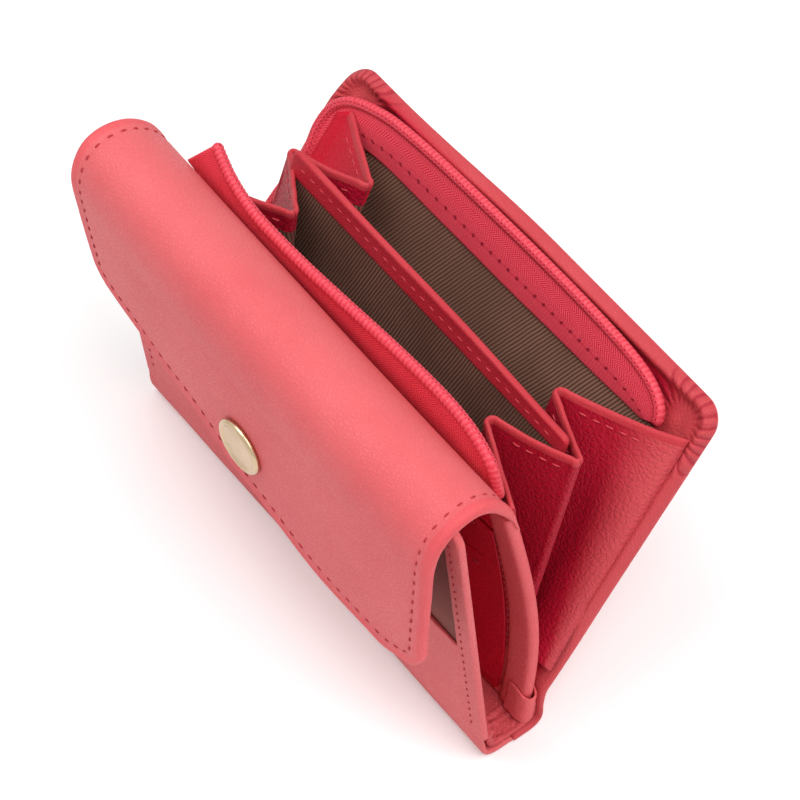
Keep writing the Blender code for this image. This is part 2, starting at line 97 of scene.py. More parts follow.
def make_light():
    """White behind the wallet for the camera, a softer grey for its light, and two lamps."""
    world = bpy.data.worlds.new("studio")
    bpy.context.scene.world = world
    bpy.context.scene.view_settings.view_transform = "Standard"
    world.use_nodes = True
    tree = world.node_tree
    tree.nodes.clear()
    rays = add_node(tree, "LightPath").outputs
    seen = rays["Is Camera Ray"]
    for kind in ("Is Transmission Ray", "Is Glossy Ray"):
        seen = add_node(tree, "Math", {0: seen, 1: rays[kind]}, operation="MAXIMUM").outputs[0]
    soft = add_node(tree, "Background", {"Color": (1.0, 0.985, 0.98, 1), "Strength": 0.44})
    white = add_node(tree, "Background", {"Color": (1, 1, 1, 1), "Strength": 1.0})
    mix = add_node(tree, "MixShader", {0: seen, 1: soft.outputs[0], 2: white.outputs[0]})
    add_node(tree, "OutputWorld", {"Surface": mix.outputs[0]})
    aim, size = Vector((0, 0, 0.03)), 0.60
    for name, place, power in (
        ("left_light", (-0.24, -0.24, 0.86), 3.9),
        ("right_light", (0.44, 0.06, 0.76), 4.7),
    ):
        data = bpy.data.lights.new(name, "AREA")
        data.size = size
        data.energy = power
        lamp = add_object(name, data)
        lamp.location = place
        lamp.rotation_euler = (aim - Vector(place)).to_track_quat("-Z", "Y").to_euler()


def make_floor():
    side = 3.0
    mesh = bpy.data.meshes.new("floor")
    mesh.from_pydata([(-side, -side, 0), (side, -side, 0), (side, side, 0), (-side, side, 0)], [], [(0, 1, 2, 3)])
    floor_obj = add_object("floor", mesh)
    floor_obj.location.z = -0.0002
    look = Look("floor_paper", {
        "Base Color": rgb(0.92, 0.92, 0.92), "Roughness": 0.9, "Specular IOR Level": 0.0,
        "Emission Color": rgb(1, 1, 1),
    })
    seen = look.node("LightPath").outputs["Is Camera Ray"]
    look.tree.links.new(look.math("MULTIPLY", seen, 0.16).socket, look.inputs["Emission Strength"])
    mesh.materials.append(look.mat)


# Materials

def rgb(r, g, b):
    return (r, g, b, 1)


class Value:
    """A number that a material works out in its nodes."""

    def __init__(self, look, socket):
        self.look, self.socket = look, socket

    def __add__(self, other):
        return self.look.math("ADD", self, other)

    def __sub__(self, other):
        return self.look.math("SUBTRACT", self, other)

    def __rsub__(self, other):
        return self.look.math("SUBTRACT", other, self)

    def __mul__(self, other):
        return self.look.math("MULTIPLY", self, other)

    def __truediv__(self, other):
        return self.look.math("DIVIDE", self, other)

    def times(self, factor, plus):
        return self.look.math("MULTIPLY_ADD", self, factor, plus)

    def size(self):
        return self.look.math("ABSOLUTE", self)

    def ramp(self, low, high, to_low=0.0, to_high=1.0):
        """A smooth step from to_low to to_high while the value goes from low to high."""
        ends = {"Value": self, "From Min": low, "From Max": high, "To Min": to_low, "To Max": to_high}
        made = self.look.node("MapRange", ends, interpolation_type="SMOOTHSTEP")
        return Value(self.look, made.outputs[0])

    def wave(self, pitch, shape="SINE"):
        """A wave of this pitch between 0 and 1."""
        return self.look.math(shape, self * (2 * pi / pitch)).times(0.5, 0.5)

    def repeat(self, pitch):
        """The distance from the middle of each length of one pitch."""
        return self.look.math("MODULO", self + 200.0, pitch) - pitch / 2

    def apart(self, other):
        return self.look.math("SQRT", self * self + other * other)


class Look:
    """A Principled material with short calls for its nodes."""

    def __init__(self, name, settings):
        self.mat = bpy.data.materials.new(name)
        self.mat.use_nodes = True
        self.tree = self.mat.node_tree
        self.inputs = self.tree.nodes["Principled BSDF"].inputs
        for key, value in settings.items():
            self.inputs[key].default_value = value

    def node(self, kind, values=(), **settings):
        return add_node(self.tree, kind, values, **settings)

    def math(self, operation, *values, clamp=False):
        made = self.node("Math", dict(enumerate(values)), operation=operation, use_clamp=clamp)
        return Value(self, made.outputs[0])

    def mix(self, share, first, second):
        return self.node("Mix", {0: share, 6: first, 7: second}, data_type="RGBA").outputs[2]

    def place(self):
        return self.node("TexCoord").outputs["Object"]

    def flat(self):
        """The (along, across) place on the sheet in millimetres."""
        parts = self.node("SeparateXYZ", {0: self.node("UVMap", uv_map="flat").outputs[0]})
        return Value(self, parts.outputs[0]), Value(self, parts.outputs[1])

    def noise(self, scale, detail=2.0, roughness=0.5):
        values = {"Vector": self.place(), "Scale": scale, "Detail": detail, "Roughness": roughness}
        return Value(self, self.node("TexNoise", values).outputs[0])

    def finish(self, colour, height, strength, depth, roughness=None):
        self.tree.links.new(colour, self.inputs["Base Color"])
        if roughness is not None:
            self.tree.links.new(roughness.socket, self.inputs["Roughness"])
        bump = self.node("Bump", {"Strength": strength, "Distance": depth, "Height": height})
        self.tree.links.new(bump.outputs[0], self.inputs["Normal"])
        return self.mat


def leather_look(name, light, dark, cell, grain, wrinkle=0.0, marks=None):
    """Soft grained leather: pebbles of this size in mm, fine pores and slow colour changes.

    marks(look, colour, height) may add what belongs to one sheet only.
    """
    look = Look(name, {
        "Roughness": 0.5, "Specular IOR Level": 0.22, "Sheen Weight": 0.03, "Sheen Roughness": 0.4,
        "Sheen Tint": rgb(1.0, 0.5, 0.5),
    })
    place = look.place()
    warp = look.node("TexNoise", {"Vector": place, "Scale": 260.0, "Detail": 2.0}).outputs["Color"]
    shift = look.node("VectorMath", {0: warp, 1: (0.0014,) * 3, 2: place}, operation="MULTIPLY_ADD").outputs[0]
    pebble = look.node("TexVoronoi", {"Vector": shift, "Scale": 1000.0 / cell}, feature="DISTANCE_TO_EDGE")
    crease = Value(look, pebble.outputs["Distance"]).ramp(0.0, 0.28)
    fine = look.noise(3600.0, 3.0, 0.6)
    height = crease * 0.65 + fine * 0.35
    if wrinkle:
        height = height + look.noise(430.0 / cell, 4.0, 0.65) * wrinkle
    tone = look.noise(38.0, 3.0, 0.55).ramp(0.32, 0.70) * 0.55 + look.noise(210.0, 3.0, 0.55) * 0.45
    colour = look.mix(tone, rgb(*dark), rgb(*light))
    colour = look.mix(crease.ramp(0.0, 0.8, 0.24 * grain, 0.0), colour, rgb(*(v * 0.82 for v in dark)))
    if marks:
        colour, height = marks(look, colour, height)
    edge = Value(look, look.node("NewGeometry").outputs["Pointiness"])
    worn = rgb(*(min(1.0, v * 1.06 + 0.02) for v in light))
    colour = look.mix(edge.ramp(0.52, 0.60, 0.0, 0.35), colour, worn)
    rough = (crease * 0.6 + fine * 0.4).ramp(0.1, 0.9, 0.60, 0.44)
    return look.finish(colour, height, min(1.0, 0.55 * grain + 0.15), 0.00015, rough)


def towards_rim(look, colour, height):
    """The gusset leather's painted shade fades to the cover rim's lighter colour where it meets the cover's rim."""
    along, up = look.flat()
    share = ((along - 0.6) / up.times(0.26, 1.2)).ramp(0.0, 1.0, 0.95, 0.0)
    return look.mix(share, colour, rgb(0.60, 0.075, 0.088)), height


def cover_painted_shade_and_pleats(top):
    """The rear cover's painted shade, in channels under the zip and along its ends, and the pleats round its corners,
    with painted shade in their troughs.
    """

    def marks(look, colour, height):
        along, across = look.flat()
        aside, depth = along.size(), top - across
        x, y = aside - 43.5, 7.5 - depth
        reach = x.apart(y)
        turn = look.math("ARCTAN2", y, x)
        wave = look.math("SINE", turn.times(23.0, look.noise(260.0) * 7.0))
        near = reach.ramp(2.6, 4.6) * reach.ramp(8.2, 10.2, 1.0, 0.0) * depth.ramp(13.0, 17.0, 1.0, 0.0)
        # Painted shade: darker in a channel under the zip and low along the cover's ends.
        painted_channel_shade = depth.ramp(1.2, 3.6, 0.0, 0.92) * aside.ramp(37.0, 43.5, 1.0, 0.0)
        low = across.ramp(top - 57.0, top - 50.0, 0.95, 0.0) * aside.ramp(46.0, 48.4, 1.0, 0.0)
        colour = look.mix(look.math("MAXIMUM", painted_channel_shade, low), colour, rgb(0.50, 0.004, 0.028))
        # Painted shade in the pleats' troughs, which the height below also sinks.
        colour = look.mix(near * wave.ramp(-0.2, -0.95, 0.0, 0.75), colour, rgb(0.36, 0.012, 0.028))
        return colour, height + near * wave * 1.4

    return marks


def thread_look(name, light, dark):
    look = Look(name, {"Roughness": 0.62, "Specular IOR Level": 0.3})
    twist = look.noise(5200.0)
    return look.finish(look.mix(twist.ramp(0.35, 0.65), rgb(*dark), rgb(*light)), twist, 0.3, 0.00005)


def lining_look(name, angle, pitch, tint=(1.0, 1.0, 1.0)):
    """Ribbed lining cloth: its ribs run at this angle from the sheet's own across."""
    look = Look(name, {"Roughness": 0.66, "Specular IOR Level": 0.15, "Sheen Weight": 0.02})
    along, across = look.flat()
    c, n = cos(radians(angle)), sin(radians(angle))
    rib = (along * c + across * n + look.noise(160.0) * 0.5).wave(pitch)
    weft = (across * c - along * n).wave(0.22)
    # A tint other than (1, 1, 1) paints a cast of light onto the cloth's own colours.
    shades = ((0.180, 0.090, 0.062), (0.250, 0.128, 0.090))
    tinted = (rgb(*(v * t for v, t in zip(shade, tint))) for shade in shades)
    body = look.mix(look.noise(70.0).ramp(0.3, 0.7), *tinted)
    dark = look.mix(weft * 0.25, rgb(0.076, 0.031, 0.021), rgb(0.110, 0.046, 0.031))
    fuzz = look.noise(2600.0, 3.0, 0.6).times(0.35, 0.78)
    share = look.math("MULTIPLY", rib.ramp(0.08, 0.62), fuzz, clamp=True)
    return look.finish(look.mix(share, dark, body), rib + weft * 0.12, 0.55, 0.00018)


def tape_look(name, holes_at, herring_from, dark, light):
    """Woven zip tape: twill, then chevrons from herring_from up, and a row of stitch holes at holes_at."""
    look = Look(name, {"Roughness": 0.62, "Specular IOR Level": 0.12})
    along, across = look.flat()
    column = look.math("PINGPONG", across + look.noise(420.0) * 0.5, 1.2)
    herring = (along + column).wave(0.52)
    twill = (along + across * 1.25).wave(0.42)
    upper = across.ramp(herring_from - 0.15, herring_from + 0.15)
    weave = herring * upper + twill * (1.0 - upper)
    height = weave * 0.62 + look.noise(3000.0, 3.0, 0.65) * 0.56
    colour = look.mix(height.ramp(0.18, 0.82), rgb(*dark), rgb(*light))
    if holes_at is not None:
        away = across - holes_at
        hole = along.repeat(2.3).apart(away).ramp(0.22, 0.46, 1.0, 0.0)
        colour = look.mix(hole, colour, rgb(0.12, 0.004, 0.012))
        colour = look.mix(away.size().ramp(0.10, 0.30, 0.5, 0.0), colour, rgb(0.60, 0.03, 0.06))
        height = height - hole * 2.2
    return look.finish(colour, height, 0.5, 0.00014)


def coil_look(name):
    """The zip's coil under its woven cover: ribs, and two rows of small stitch dots."""
    look = Look(name, {"Roughness": 0.5, "Specular IOR Level": 0.22})
    along, across = look.flat()
    row = (across - 1.35).size() - 0.40
    dot = along.repeat(0.95).apart(row).ramp(0.13, 0.27, 1.0, 0.0)
    tone = along.wave(0.95, "COSINE") * 0.25 + look.noise(2800.0, 2.0, 0.6) * 0.75
    colour = look.mix(tone.ramp(0.2, 0.85), rgb(0.62, 0.030, 0.056), rgb(0.84, 0.110, 0.145))
    colour = look.mix(dot * 0.85, colour, rgb(0.30, 0.004, 0.016))
    return look.finish(colour, tone - dot, 0.35, 0.0001)


def gold_look(name):
    look = Look(name, {"Roughness": 0.24, "Metallic": 1.0})
    brushed = look.noise(900.0, 4.0, 0.6)
    wear = look.noise(140.0, 3.0, 0.5)
    colour = look.mix(wear.ramp(0.3, 0.7), rgb(0.50, 0.37, 0.22), rgb(0.66, 0.52, 0.35))
    return look.finish(colour, brushed, 0.05, 0.00003, brushed.ramp(0.2, 0.8, 0.17, 0.30))


# The gusset leaves' pebbled leather is a darker, deeper red copy of the coral leather: painted shade on the leaves
# folded between the covers.
PEBBLED_PAINTED_SHADE = (0.50, 0.006, 0.034), (0.37, 0.003, 0.018), 1.05
leather = leather_look("leather_coral", (0.77, 0.150, 0.158), (0.69, 0.106, 0.118), 0.68, 0.80)
leather_edge = leather_look("leather_turned_edge", (0.78, 0.122, 0.134), (0.68, 0.080, 0.094), 0.62, 0.50)
# The folded-edge leather is a darker copy of the turned-edge leather: painted shade on the divider band's top and the
# gusset leaves' rolled edges.
leather_fold_painted_shade = leather_look("leather_folded_edge_painted_shade", (0.60, 0.054, 0.068), (0.50, 0.032, 0.046), 0.62, 0.5)
leather_pebble_painted_shade = leather_look("leather_pebbled_painted_shade", *PEBBLED_PAINTED_SHADE, 1.5, 0.9)
leather_leaf_painted_shade = leather_look("leather_pebbled_painted_shade_to_rim", *PEBBLED_PAINTED_SHADE, 1.4, 0.9, towards_rim)
# The band-side leather is a darker, deeper red copy: painted shade on the divider band's side faces.
leather_band_painted_shade = leather_look("leather_band_side_painted_shade", (0.62, 0.036, 0.058), (0.50, 0.018, 0.036), 0.60, 0.6)
# The inner-face leather below is a deeper, darker red copy of the coral leather: painted shade on the inner faces of
# the covers, the middle panel, the card pockets and the flap, and on the left gusset's first leaf.
leather_inside_painted_shade = leather_look("leather_inside_painted_shade", (0.70, 0.004, 0.034), (0.54, 0.002, 0.020), 0.70, 0.7)
leather_pleated = leather_look("leather_pleated", (0.77, 0.120, 0.132), (0.52, 0.036, 0.054), 0.52, 0.9, 3.6)
thread_deep = thread_look("thread_deep", (0.68, 0.085, 0.105), (0.52, 0.036, 0.056))
thread_dark = thread_look("thread_shaded", (0.50, 0.040, 0.056), (0.36, 0.018, 0.030))
lining_rear = lining_look("lining_rear", -22.7, 0.665)
lining_divider = lining_look("lining_divider", -16.4, 0.633)
# The facing cloth's tint paints the pinkish cast it has in the flap's shade: more red and less green than the lining's
# own grey-brown.
lining_facing_painted_cast = lining_look("lining_facing_painted_cast", 38.0, 0.62, (1.8, 0.85, 1.0))
tape = tape_look("zip_tape_weave", 3.2, 4.3, (0.52, 0.012, 0.034), (0.86, 0.090, 0.130))
# The front tape's colours are a lighter copy of the tape's: painted light where the front half of the zip lies in
# shade.
tape_front_painted_light = tape_look("zip_tape_front_painted_light", None, 1.0, (0.64, 0.013, 0.036), (0.93, 0.105, 0.145))
coil = coil_look("zip_coil_cover")
gold = gold_look("champagne_metal")


# Numbers and lines

def limit(value, low=0.0, high=1.0):
    return min(max(value, low), high)


def ease(value, low, high):
    t = limit((value - low) / (high - low))
    return t * t * (3 - 2 * t)


def hump(value, centre, width):
    """A smooth hump of height 1 about the centre."""
    return exp(-((value - centre) / width) ** 2)


def ripple(x, s, scale, seed=0.0):
    return noise.noise(Vector((x * scale, s * scale, seed)))


def smooth_line(points, step=0.5, per=None):
    """A Catmull-Rom line, in pieces of about this step or with this many between each two points."""
    points = [Vector(p) for p in points]
    made = []
    for i, (b, c) in enumerate(zip(points, points[1:])):
        a, d = points[max(i - 1, 0)], points[min(i + 2, len(points) - 1)]
        count = per or max(1, ceil((c - b).length / step))
        for k in range(count):
            t = k / count
            square, cube = 2 * a - 5 * b + 4 * c - d, 3 * b - a - 3 * c + d
            made.append(0.5 * ((2 * b) + (c - a) * t + square * t ** 2 + cube * t ** 3))
    return made + [points[-1]]


def lengths_of(line):
    """The length along the line at each of its points."""
    made = [0.0]
    for p, q in zip(line, line[1:]):
        made.append(made[-1] + (q - p).length)
    return made


def point_on(line, lengths, s):
    """The line's point at the length s, and the number of the piece that it lies in."""
    k = limit(bisect_left(lengths, s) - 1, 0, len(lengths) - 2)
    t = limit((s - lengths[k]) / max(lengths[k + 1] - lengths[k], 1e-9))
    return line[k].lerp(line[k + 1], t), k


def even(line, count):
    """The line again with this many evenly spaced points."""
    lengths = lengths_of(line)
    return [point_on(line, lengths, lengths[-1] * n / (count - 1))[0] for n in range(count)]


def resample(line, step):
    lengths = lengths_of(line)
    return [point_on(line, lengths, n * step)[0] for n in range(int(lengths[-1] / step) + 1)]


def walk(pairs, step):
    """Positions on the straight lines between the (x, s) pairs."""
    made = []
    for (x0, s0), (x1, s1) in zip(pairs, pairs[1:]):
        count = max(1, ceil(hypot(x1 - x0, s1 - s0) / step))
        made += [(x0 + (x1 - x0) * k / count, s0 + (s1 - s0) * k / count) for k in range(count)]
    return made + [pairs[-1]]


def curve_of(pairs):
    """A smooth value between the (position, value) pairs."""

    def value(x):
        for (x0, y0), (x1, y1) in zip(pairs, pairs[1:]):
            if x <= x1:
                return y0 + (y1 - y0) * ease(x, x0, x1)
        return pairs[-1][1]

    return value


EDGE = (0.0, 0.06, 0.18, 0.36, 0.6, 0.95, 1.4, 2.0, 2.6, 3.3)


def spread(low, high, step, edge):
    """Positions from low to high, closer together at both ends."""
    ends = [e for e in edge if e < (high - low) / 2 - step / 2]
    inner_low, inner_high = low + ends[-1], high - ends[-1]
    count = max(1, round((inner_high - inner_low) / step))
    inner = [inner_low + (inner_high - inner_low) * i / count for i in range(1, count)]
    return [low + e for e in ends] + inner + [high - e for e in reversed(ends)]


# Places: maps from (x, w, s) to the world

def place_at(y, z, lean):
    c, n = cos(radians(lean)), sin(radians(lean))

    def at(x, w, s):
        return Vector((x, y + w * c + s * n, z - w * n + s * c))

    return at


rear = place_at(6.2, 9.0, 35.0)
divider = place_at(3.63, 9.0, 17.118)
front = place_at(-5.2, 6.1, -5.0)
middle_flat = place_at(2.9, 2.8, -3.4)
MIDDLE_TALL = 66.0


def middle(x, w, s):
    """The middle panel's place: its ends bow a little to the rear."""
    reach = 2.9 if x > 0 else 1.2
    bow = (0.3 + reach * sin(pi * limit(s / MIDDLE_TALL) ** 0.8)) * ease(abs(x), 18.0, 47.0)
    return middle_flat(x, w + bow, s)


def along_line(points):
    """A place along a (y, z) line: s is the length along it and w the distance to its left."""
    line = smooth_line(points)
    lengths = lengths_of(line)
    total = lengths[-1]

    def at(x, w, s):
        here, k = point_on(line, lengths, s)
        tangent = (line[min(k + 2, len(line) - 1)] - line[max(k - 1, 0)]).normalized()
        here = here + tangent * (s - limit(s, 0.0, total))
        return Vector((x, here.x - tangent.y * w, here.y + tangent.x * w))

    return at, total


def wrap_place(at, path):
    """A place along a path in (x, w) of another place: x is the length along the path."""
    line = smooth_line(path, 0.2)
    lengths = lengths_of(line)

    def wrapped(u, w, s):
        here, k = point_on(line, lengths, limit(u, 0.0, lengths[-1]))
        tangent = (line[min(k + 2, len(line) - 1)] - line[max(k - 1, 0)]).normalized()
        return at(here.x + tangent.y * w, here.y - tangent.x * w, s)

    return wrapped, lengths[-1]


def out_of(at, sign=1):
    """The way the sheet's w axis points, in the world."""
    return (at(0.0, 1.0, 10.0) - at(0.0, 0.0, 10.0)) * sign


# Mesh making

def make_mesh(name, points, faces, looks, flat=None, indices=None):
    mesh = bpy.data.meshes.new(name)
    mesh.from_pydata([tuple(v * MM for v in p) for p in points], [], faces)
    for look in looks:
        mesh.materials.append(look)
    if indices:
        mesh.polygons.foreach_set("material_index", indices)
    if flat:
        layer = mesh.uv_layers.new(name="flat")
        for loop in mesh.loops:
            layer.data[loop.index].uv = flat[loop.vertex_index]
    mesh.polygons.foreach_set("use_smooth", [True] * len(mesh.polygons))
    mesh.validate()
    whole = bmesh.new()
    whole.from_mesh(mesh)
    bmesh.ops.recalc_face_normals(whole, faces=whole.faces)
    whole.to_mesh(mesh)
    whole.free()
    return add_object(name, mesh)


def settle(obj, body, slot, *nodes):
    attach(obj, body)
    if nodes:
        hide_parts(*nodes)
    return obj


def round_edge(d, radius):
    """The share of its thickness that a round edge has at the depth d."""
    return sqrt(max(0.0, 1 - (1 - limit(d / radius)) ** 2))


def box_depth(x, s, half, low, high, top_corner, low_corner):
    """Distance from (x, s) in to the rounded outline."""
    middle_s = (low + high) / 2
    corner = top_corner if s > middle_s else low_corner
    qx = abs(x) - (half - corner)
    qs = abs(s - middle_s) - ((high - low) / 2 - corner)
    return corner - hypot(max(qx, 0), max(qs, 0)) - min(max(qx, qs), 0)


def closed_sheet(name, cols, rows, shut, place, looks, pick, cut_ends=False):
    """A sheet with two sides, which share the points where shut(i, j) is true.

    place(i, j, side) gives a point and its place on the flat sheet, and pick(i, j, side) a face's material.
    """
    points, flat, grids, faces, indices = [], [], [], [], []
    for side in (0, 1):
        grid = []
        for j in range(rows):
            line = []
            for i in range(cols):
                if side and shut(i, j):
                    line.append(grids[0][j][i])
                    continue
                point, spot = place(i, j, side)
                line.append(len(points))
                points.append(point)
                flat.append(spot)
            grid.append(line)
        grids.append(grid)
        for j in range(rows - 1):
            for i in range(cols - 1):
                face = (grid[j][i], grid[j][i + 1], grid[j + 1][i + 1], grid[j + 1][i])
                faces.append(face[::-1] if side else face)
                indices.append(pick(i, j, side))
    for i, (a, b) in ((0, grids), (cols - 1, grids[::-1])):
        for j in range(rows - 1 if cut_ends else 0):
            faces.append(tuple(dict.fromkeys((a[j][i], b[j][i], b[j + 1][i], a[j + 1][i]))))
            indices.append(0)
    return make_mesh(name, points, faces, looks, flat, indices)


def pad(name, at, half, low, high, front_w, back_w, looks, top_corner=0.0, low_corner=0.0, step=1.0, edge=0.5,
        centre=0.0, shape=lambda x, s: (x, s), pick=lambda x, s, side: 0, edge_list=EDGE, rise=lambda x: 0.0):
    """A closed sheet with round edges: front_w and back_w give its two faces' w at (x, s, depth).

    shape(x, s) may move a point in the sheet and rise(x) may lift the whole outline. pick(x, s, side)
    gives a face's material.
    """
    ss = spread(low, high, step, edge_list)
    us = [x / half for x in spread(-half, half, step, edge_list)]

    def half_at(s):
        into = 0.0
        for corner, d in ((top_corner, high - s), (low_corner, s - low)):
            if d < corner:
                into = corner - sqrt(max(0.0, corner ** 2 - (corner - d) ** 2))
        return half - into

    def shut(i, j):
        return i in (0, len(us) - 1) or j in (0, len(ss) - 1)

    def place(i, j, side):
        s = ss[j]
        x = us[i] * half_at(s)
        depth = 0.0 if shut(i, j) else box_depth(x, s, half, low, high, top_corner, low_corner)
        fw, bw = front_w(x, s, depth), back_w(x, s, depth)
        px, ps = shape(x, s)
        ps += rise(x) * (s - low) / (high - low)
        w = (fw + bw) / 2 + (side - 0.5) * (bw - fw) * round_edge(depth, edge)
        return at(px + centre, w, ps), (px + centre, ps)

    def pick_face(i, j, side):
        return pick((us[i] + us[i + 1]) / 2 * half, (ss[j] + ss[j + 1]) / 2, side)

    return closed_sheet(name, len(us), len(ss), shut, place, looks, pick_face)


def constant(value):
    return lambda x, s, d: value


def grid_sheet(name, centres, flat, thick, looks, pick=lambda i, j, side: 0, cut_ends=False):
    """A closed sheet about a grid of centre points; thick(i, j) is half its thickness there.

    Its first and last rows close with a round edge, and its ends do so too unless they are cut.
    """
    last_i, last_j = len(centres[0]) - 1, len(centres) - 1

    def shut(i, j):
        return j in (0, last_j) or (not cut_ends and i in (0, last_i))

    def place(i, j, side):
        du = centres[j][min(i + 1, last_i)] - centres[j][max(i - 1, 0)]
        dv = centres[min(j + 1, last_j)][i] - centres[max(j - 1, 0)][i]
        w = 0.0 if shut(i, j) else thick(i, j) * (1 - 2 * side)
        return centres[j][i] + du.cross(dv).normalized() * w, flat[j][i]

    return closed_sheet(name, last_i + 1, last_j + 1, shut, place, looks, pick, cut_ends)


def ruled(name, first, last, width, thickness, looks, lift=None):
    """A thin sheet between two lines of points, which have the same number of points."""
    edge = 0.25
    steps = spread(0.0, width, 0.9, (0.0, 0.1, 0.3, 0.6))
    along = lengths_of(first)
    centres, flat = [], []
    for v in steps:
        t = v / width
        line = [a.lerp(b, t) for a, b in zip(first, last)]
        centres.append([p + lift(t) for p in line] if lift else line)
        flat.append([(length, v) for length in along])

    def thick(i, j):
        inwards = min(steps[j], width - steps[j], along[i], along[-1] - along[i])
        return thickness / 2 * round_edge(inwards, edge)

    return grid_sheet(name, centres, flat, thick, looks)


def ring_faces(base, rings, sides):
    """The faces of a closed tube whose rings have this many points each."""
    faces = []
    for start in range(base, base + (rings - 1) * sides, sides):
        for j in range(sides):
            a, b = start + j, start + (j + 1) % sides
            faces.append((a, b, b + sides, a + sides))
    last = base + (rings - 1) * sides
    return faces + [tuple(base + j for j in range(sides))[::-1], tuple(last + j for j in range(sides))]


def tube_mesh(name, line, radius, looks, sides, ribs, pitch, normal, squash=1.0):
    """A tube along the line of points; ribs modulate its radius along its length."""
    points, faces, flat = [], [], []
    lengths = lengths_of(line)
    last = len(line) - 1
    for k, here in enumerate(line):
        tangent = (line[min(k + 1, last)] - line[max(k - 1, 0)]).normalized()
        side = tangent.cross(normal).normalized()
        lift = side.cross(tangent).normalized()
        taper = (0.45, 0.85, 1)[min(k, last - k, 2)]
        r = radius * (1 + ribs * cos(2 * pi * lengths[k] / pitch)) * taper
        for j in range(sides + 1):
            a = 2 * pi * j / sides
            points.append(here + side * (r * cos(a)) + lift * (r * squash * sin(a)))
            flat.append((lengths[k], a * radius))
    ring = sides + 1
    for k in range(last):
        for a in range(k * ring, k * ring + sides):
            faces.append((a, a + 1, a + 1 + ring, a + ring))
    faces.append(tuple(range(sides))[::-1])
    faces.append(tuple(range(last * ring, last * ring + sides)))
    return make_mesh(name, points, faces, looks, flat)


def stitches(name, body, line, normal, look, pitch, share=0.62, radius=0.19, sink=0.05):
    """A row of stitches along the line, each a short thread whose ends dip into the leather.

    normal is one Vector, or a list of them along the line. A row without a body is left unattached.
    """
    sides, rings, margin = 6, 7, 0.5
    lengths = lengths_of(line)
    total = lengths[-1]
    points, faces = [], []
    count = int((total - 2 * margin) / pitch)
    length = pitch * share
    for n in range(count):
        s0 = (total - count * pitch) / 2 + n * pitch
        up = normal
        if isinstance(normal, list):
            up = normal[min(int(s0 / total * (len(normal) - 1) + 0.5), len(normal) - 1)]
        up = up.normalized()
        faces += ring_faces(len(points), rings, sides)
        for k in range(rings):
            t = k / (rings - 1)
            here, ahead, behind = (
                point_on(line, lengths, s0 + length * part)[0] for part in (t, min(t + 0.2, 1), max(t - 0.2, 0))
            )
            side = (ahead - behind).normalized().cross(up).normalized()
            bow = sin(pi * t)
            r = radius * (0.35 + 0.65 * bow ** 0.5) if 0 < t < 1 else radius * 0.2
            here = here + up * (radius * 0.9 * bow - sink - radius * 0.2)
            for j in range(sides):
                a = 2 * pi * j / sides
                points.append(here + side * (r * cos(a)) + up * (r * sin(a)))
    obj = make_mesh(name, points, faces, [look])
    if body:
        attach(obj, body)
    return obj


def stitch_row(name, body, at, pairs, w, look, **settings):
    """Stitches along the (x, s) pairs at this w, on the side of the sheet that w is on."""
    line = [at(x, w, s) for x, s in walk(pairs, 0.8)]
    return stitches(name, body, line, out_of(at, 1 if w > 0 else -1), look, **settings)


# Rear cover and the rear half of the spine

REAR_TILT = (0.57358, 0.81915)
REAR_REACH = 64.4


def make_rear_outer():
    foot = [(0.0, 0.62), (2.0, 0.62), (3.7, 0.66), (5.1, 1.15), (6.0, 2.3), (6.22, 4.0), (6.25, 6.4)]
    up = [(6.2 + REAR_TILT[0] * s, 9.0 + REAR_TILT[1] * s) for s in (1.2, 4, 12, 24, 40, 55, REAR_REACH)]
    at, total = along_line(foot + up)
    turn = total - REAR_REACH

    def rim(x, s, d):
        mask = ease(s, turn + 8, turn + 22)
        dip = 0.55 * ease(d, 2.0, 3.6) * ease(9.0 - d, 0.0, 3.0) * ease(46.0 - abs(x), 0.0, 3.0)
        gather = 0.16 * ease(abs(x), 43.0, 46.0) * ripple(x * 0.6, s, 0.75, 1.0)
        return 0.62 + (1.35 * hump(d, 1.4, 1.3) - dip + gather) * mask

    def outer(x, s, d):
        return -(0.62 + 0.36 * ease(s, turn, turn + 14)) + 0.05 * ripple(x, s, 0.12, 5.0)

    def shape(x, s):
        return x + 1.5 * ease(-x, 30.0, 50.0) * ease(s, total - 11.0, total - 1.0), s

    # The cover's inner side and rim take a darker red copy of the coral leather, painted shade, with the channels and
    # pleat troughs also painted as shade on it.
    cover_rim_painted_shade = leather_look(
        "leather_cover_rim_painted_shade", (0.64, 0.082, 0.094), (0.54, 0.052, 0.064), 0.62, 0.8, 0.0, cover_painted_shade_and_pleats(total)
    )
    obj = pad(
        "rear_cover_leather", at, 50.0, 0.0, total, outer, rim, [leather, cover_rim_painted_shade], top_corner=4.6, step=1.15,
        edge=1.2, shape=shape, pick=lambda x, s, side: side, rise=lambda x: -1.6 * ease(-x, -5.0, 38.0),
        edge_list=(0.0, 0.08, 0.25, 0.5, 0.8, 1.2, 1.6, *(2.0 + 0.5 * k for k in range(12)), 8.1, 8.7, 9.4, 10.2),
    )
    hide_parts("rear_panel")
    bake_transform(obj)


def make_rear_inside():
    def face(x, s, d):
        return -1.62 - 0.22 * sin(pi * limit((s - 10) / 44)) + 0.06 * ripple(x, s, 0.08, 2.0)

    obj = pad("rear_lining_cloth", rear, 44.5, 10.0, 53.6, face, constant(-1.18), [lining_rear], step=1.6, edge=0.2)
    settle(obj, "rear_cover", "lining", "rear_lining")


COIL_RADIUS = 1.02
COIL_PITCH = 0.95
COIL_STEP = 0.3


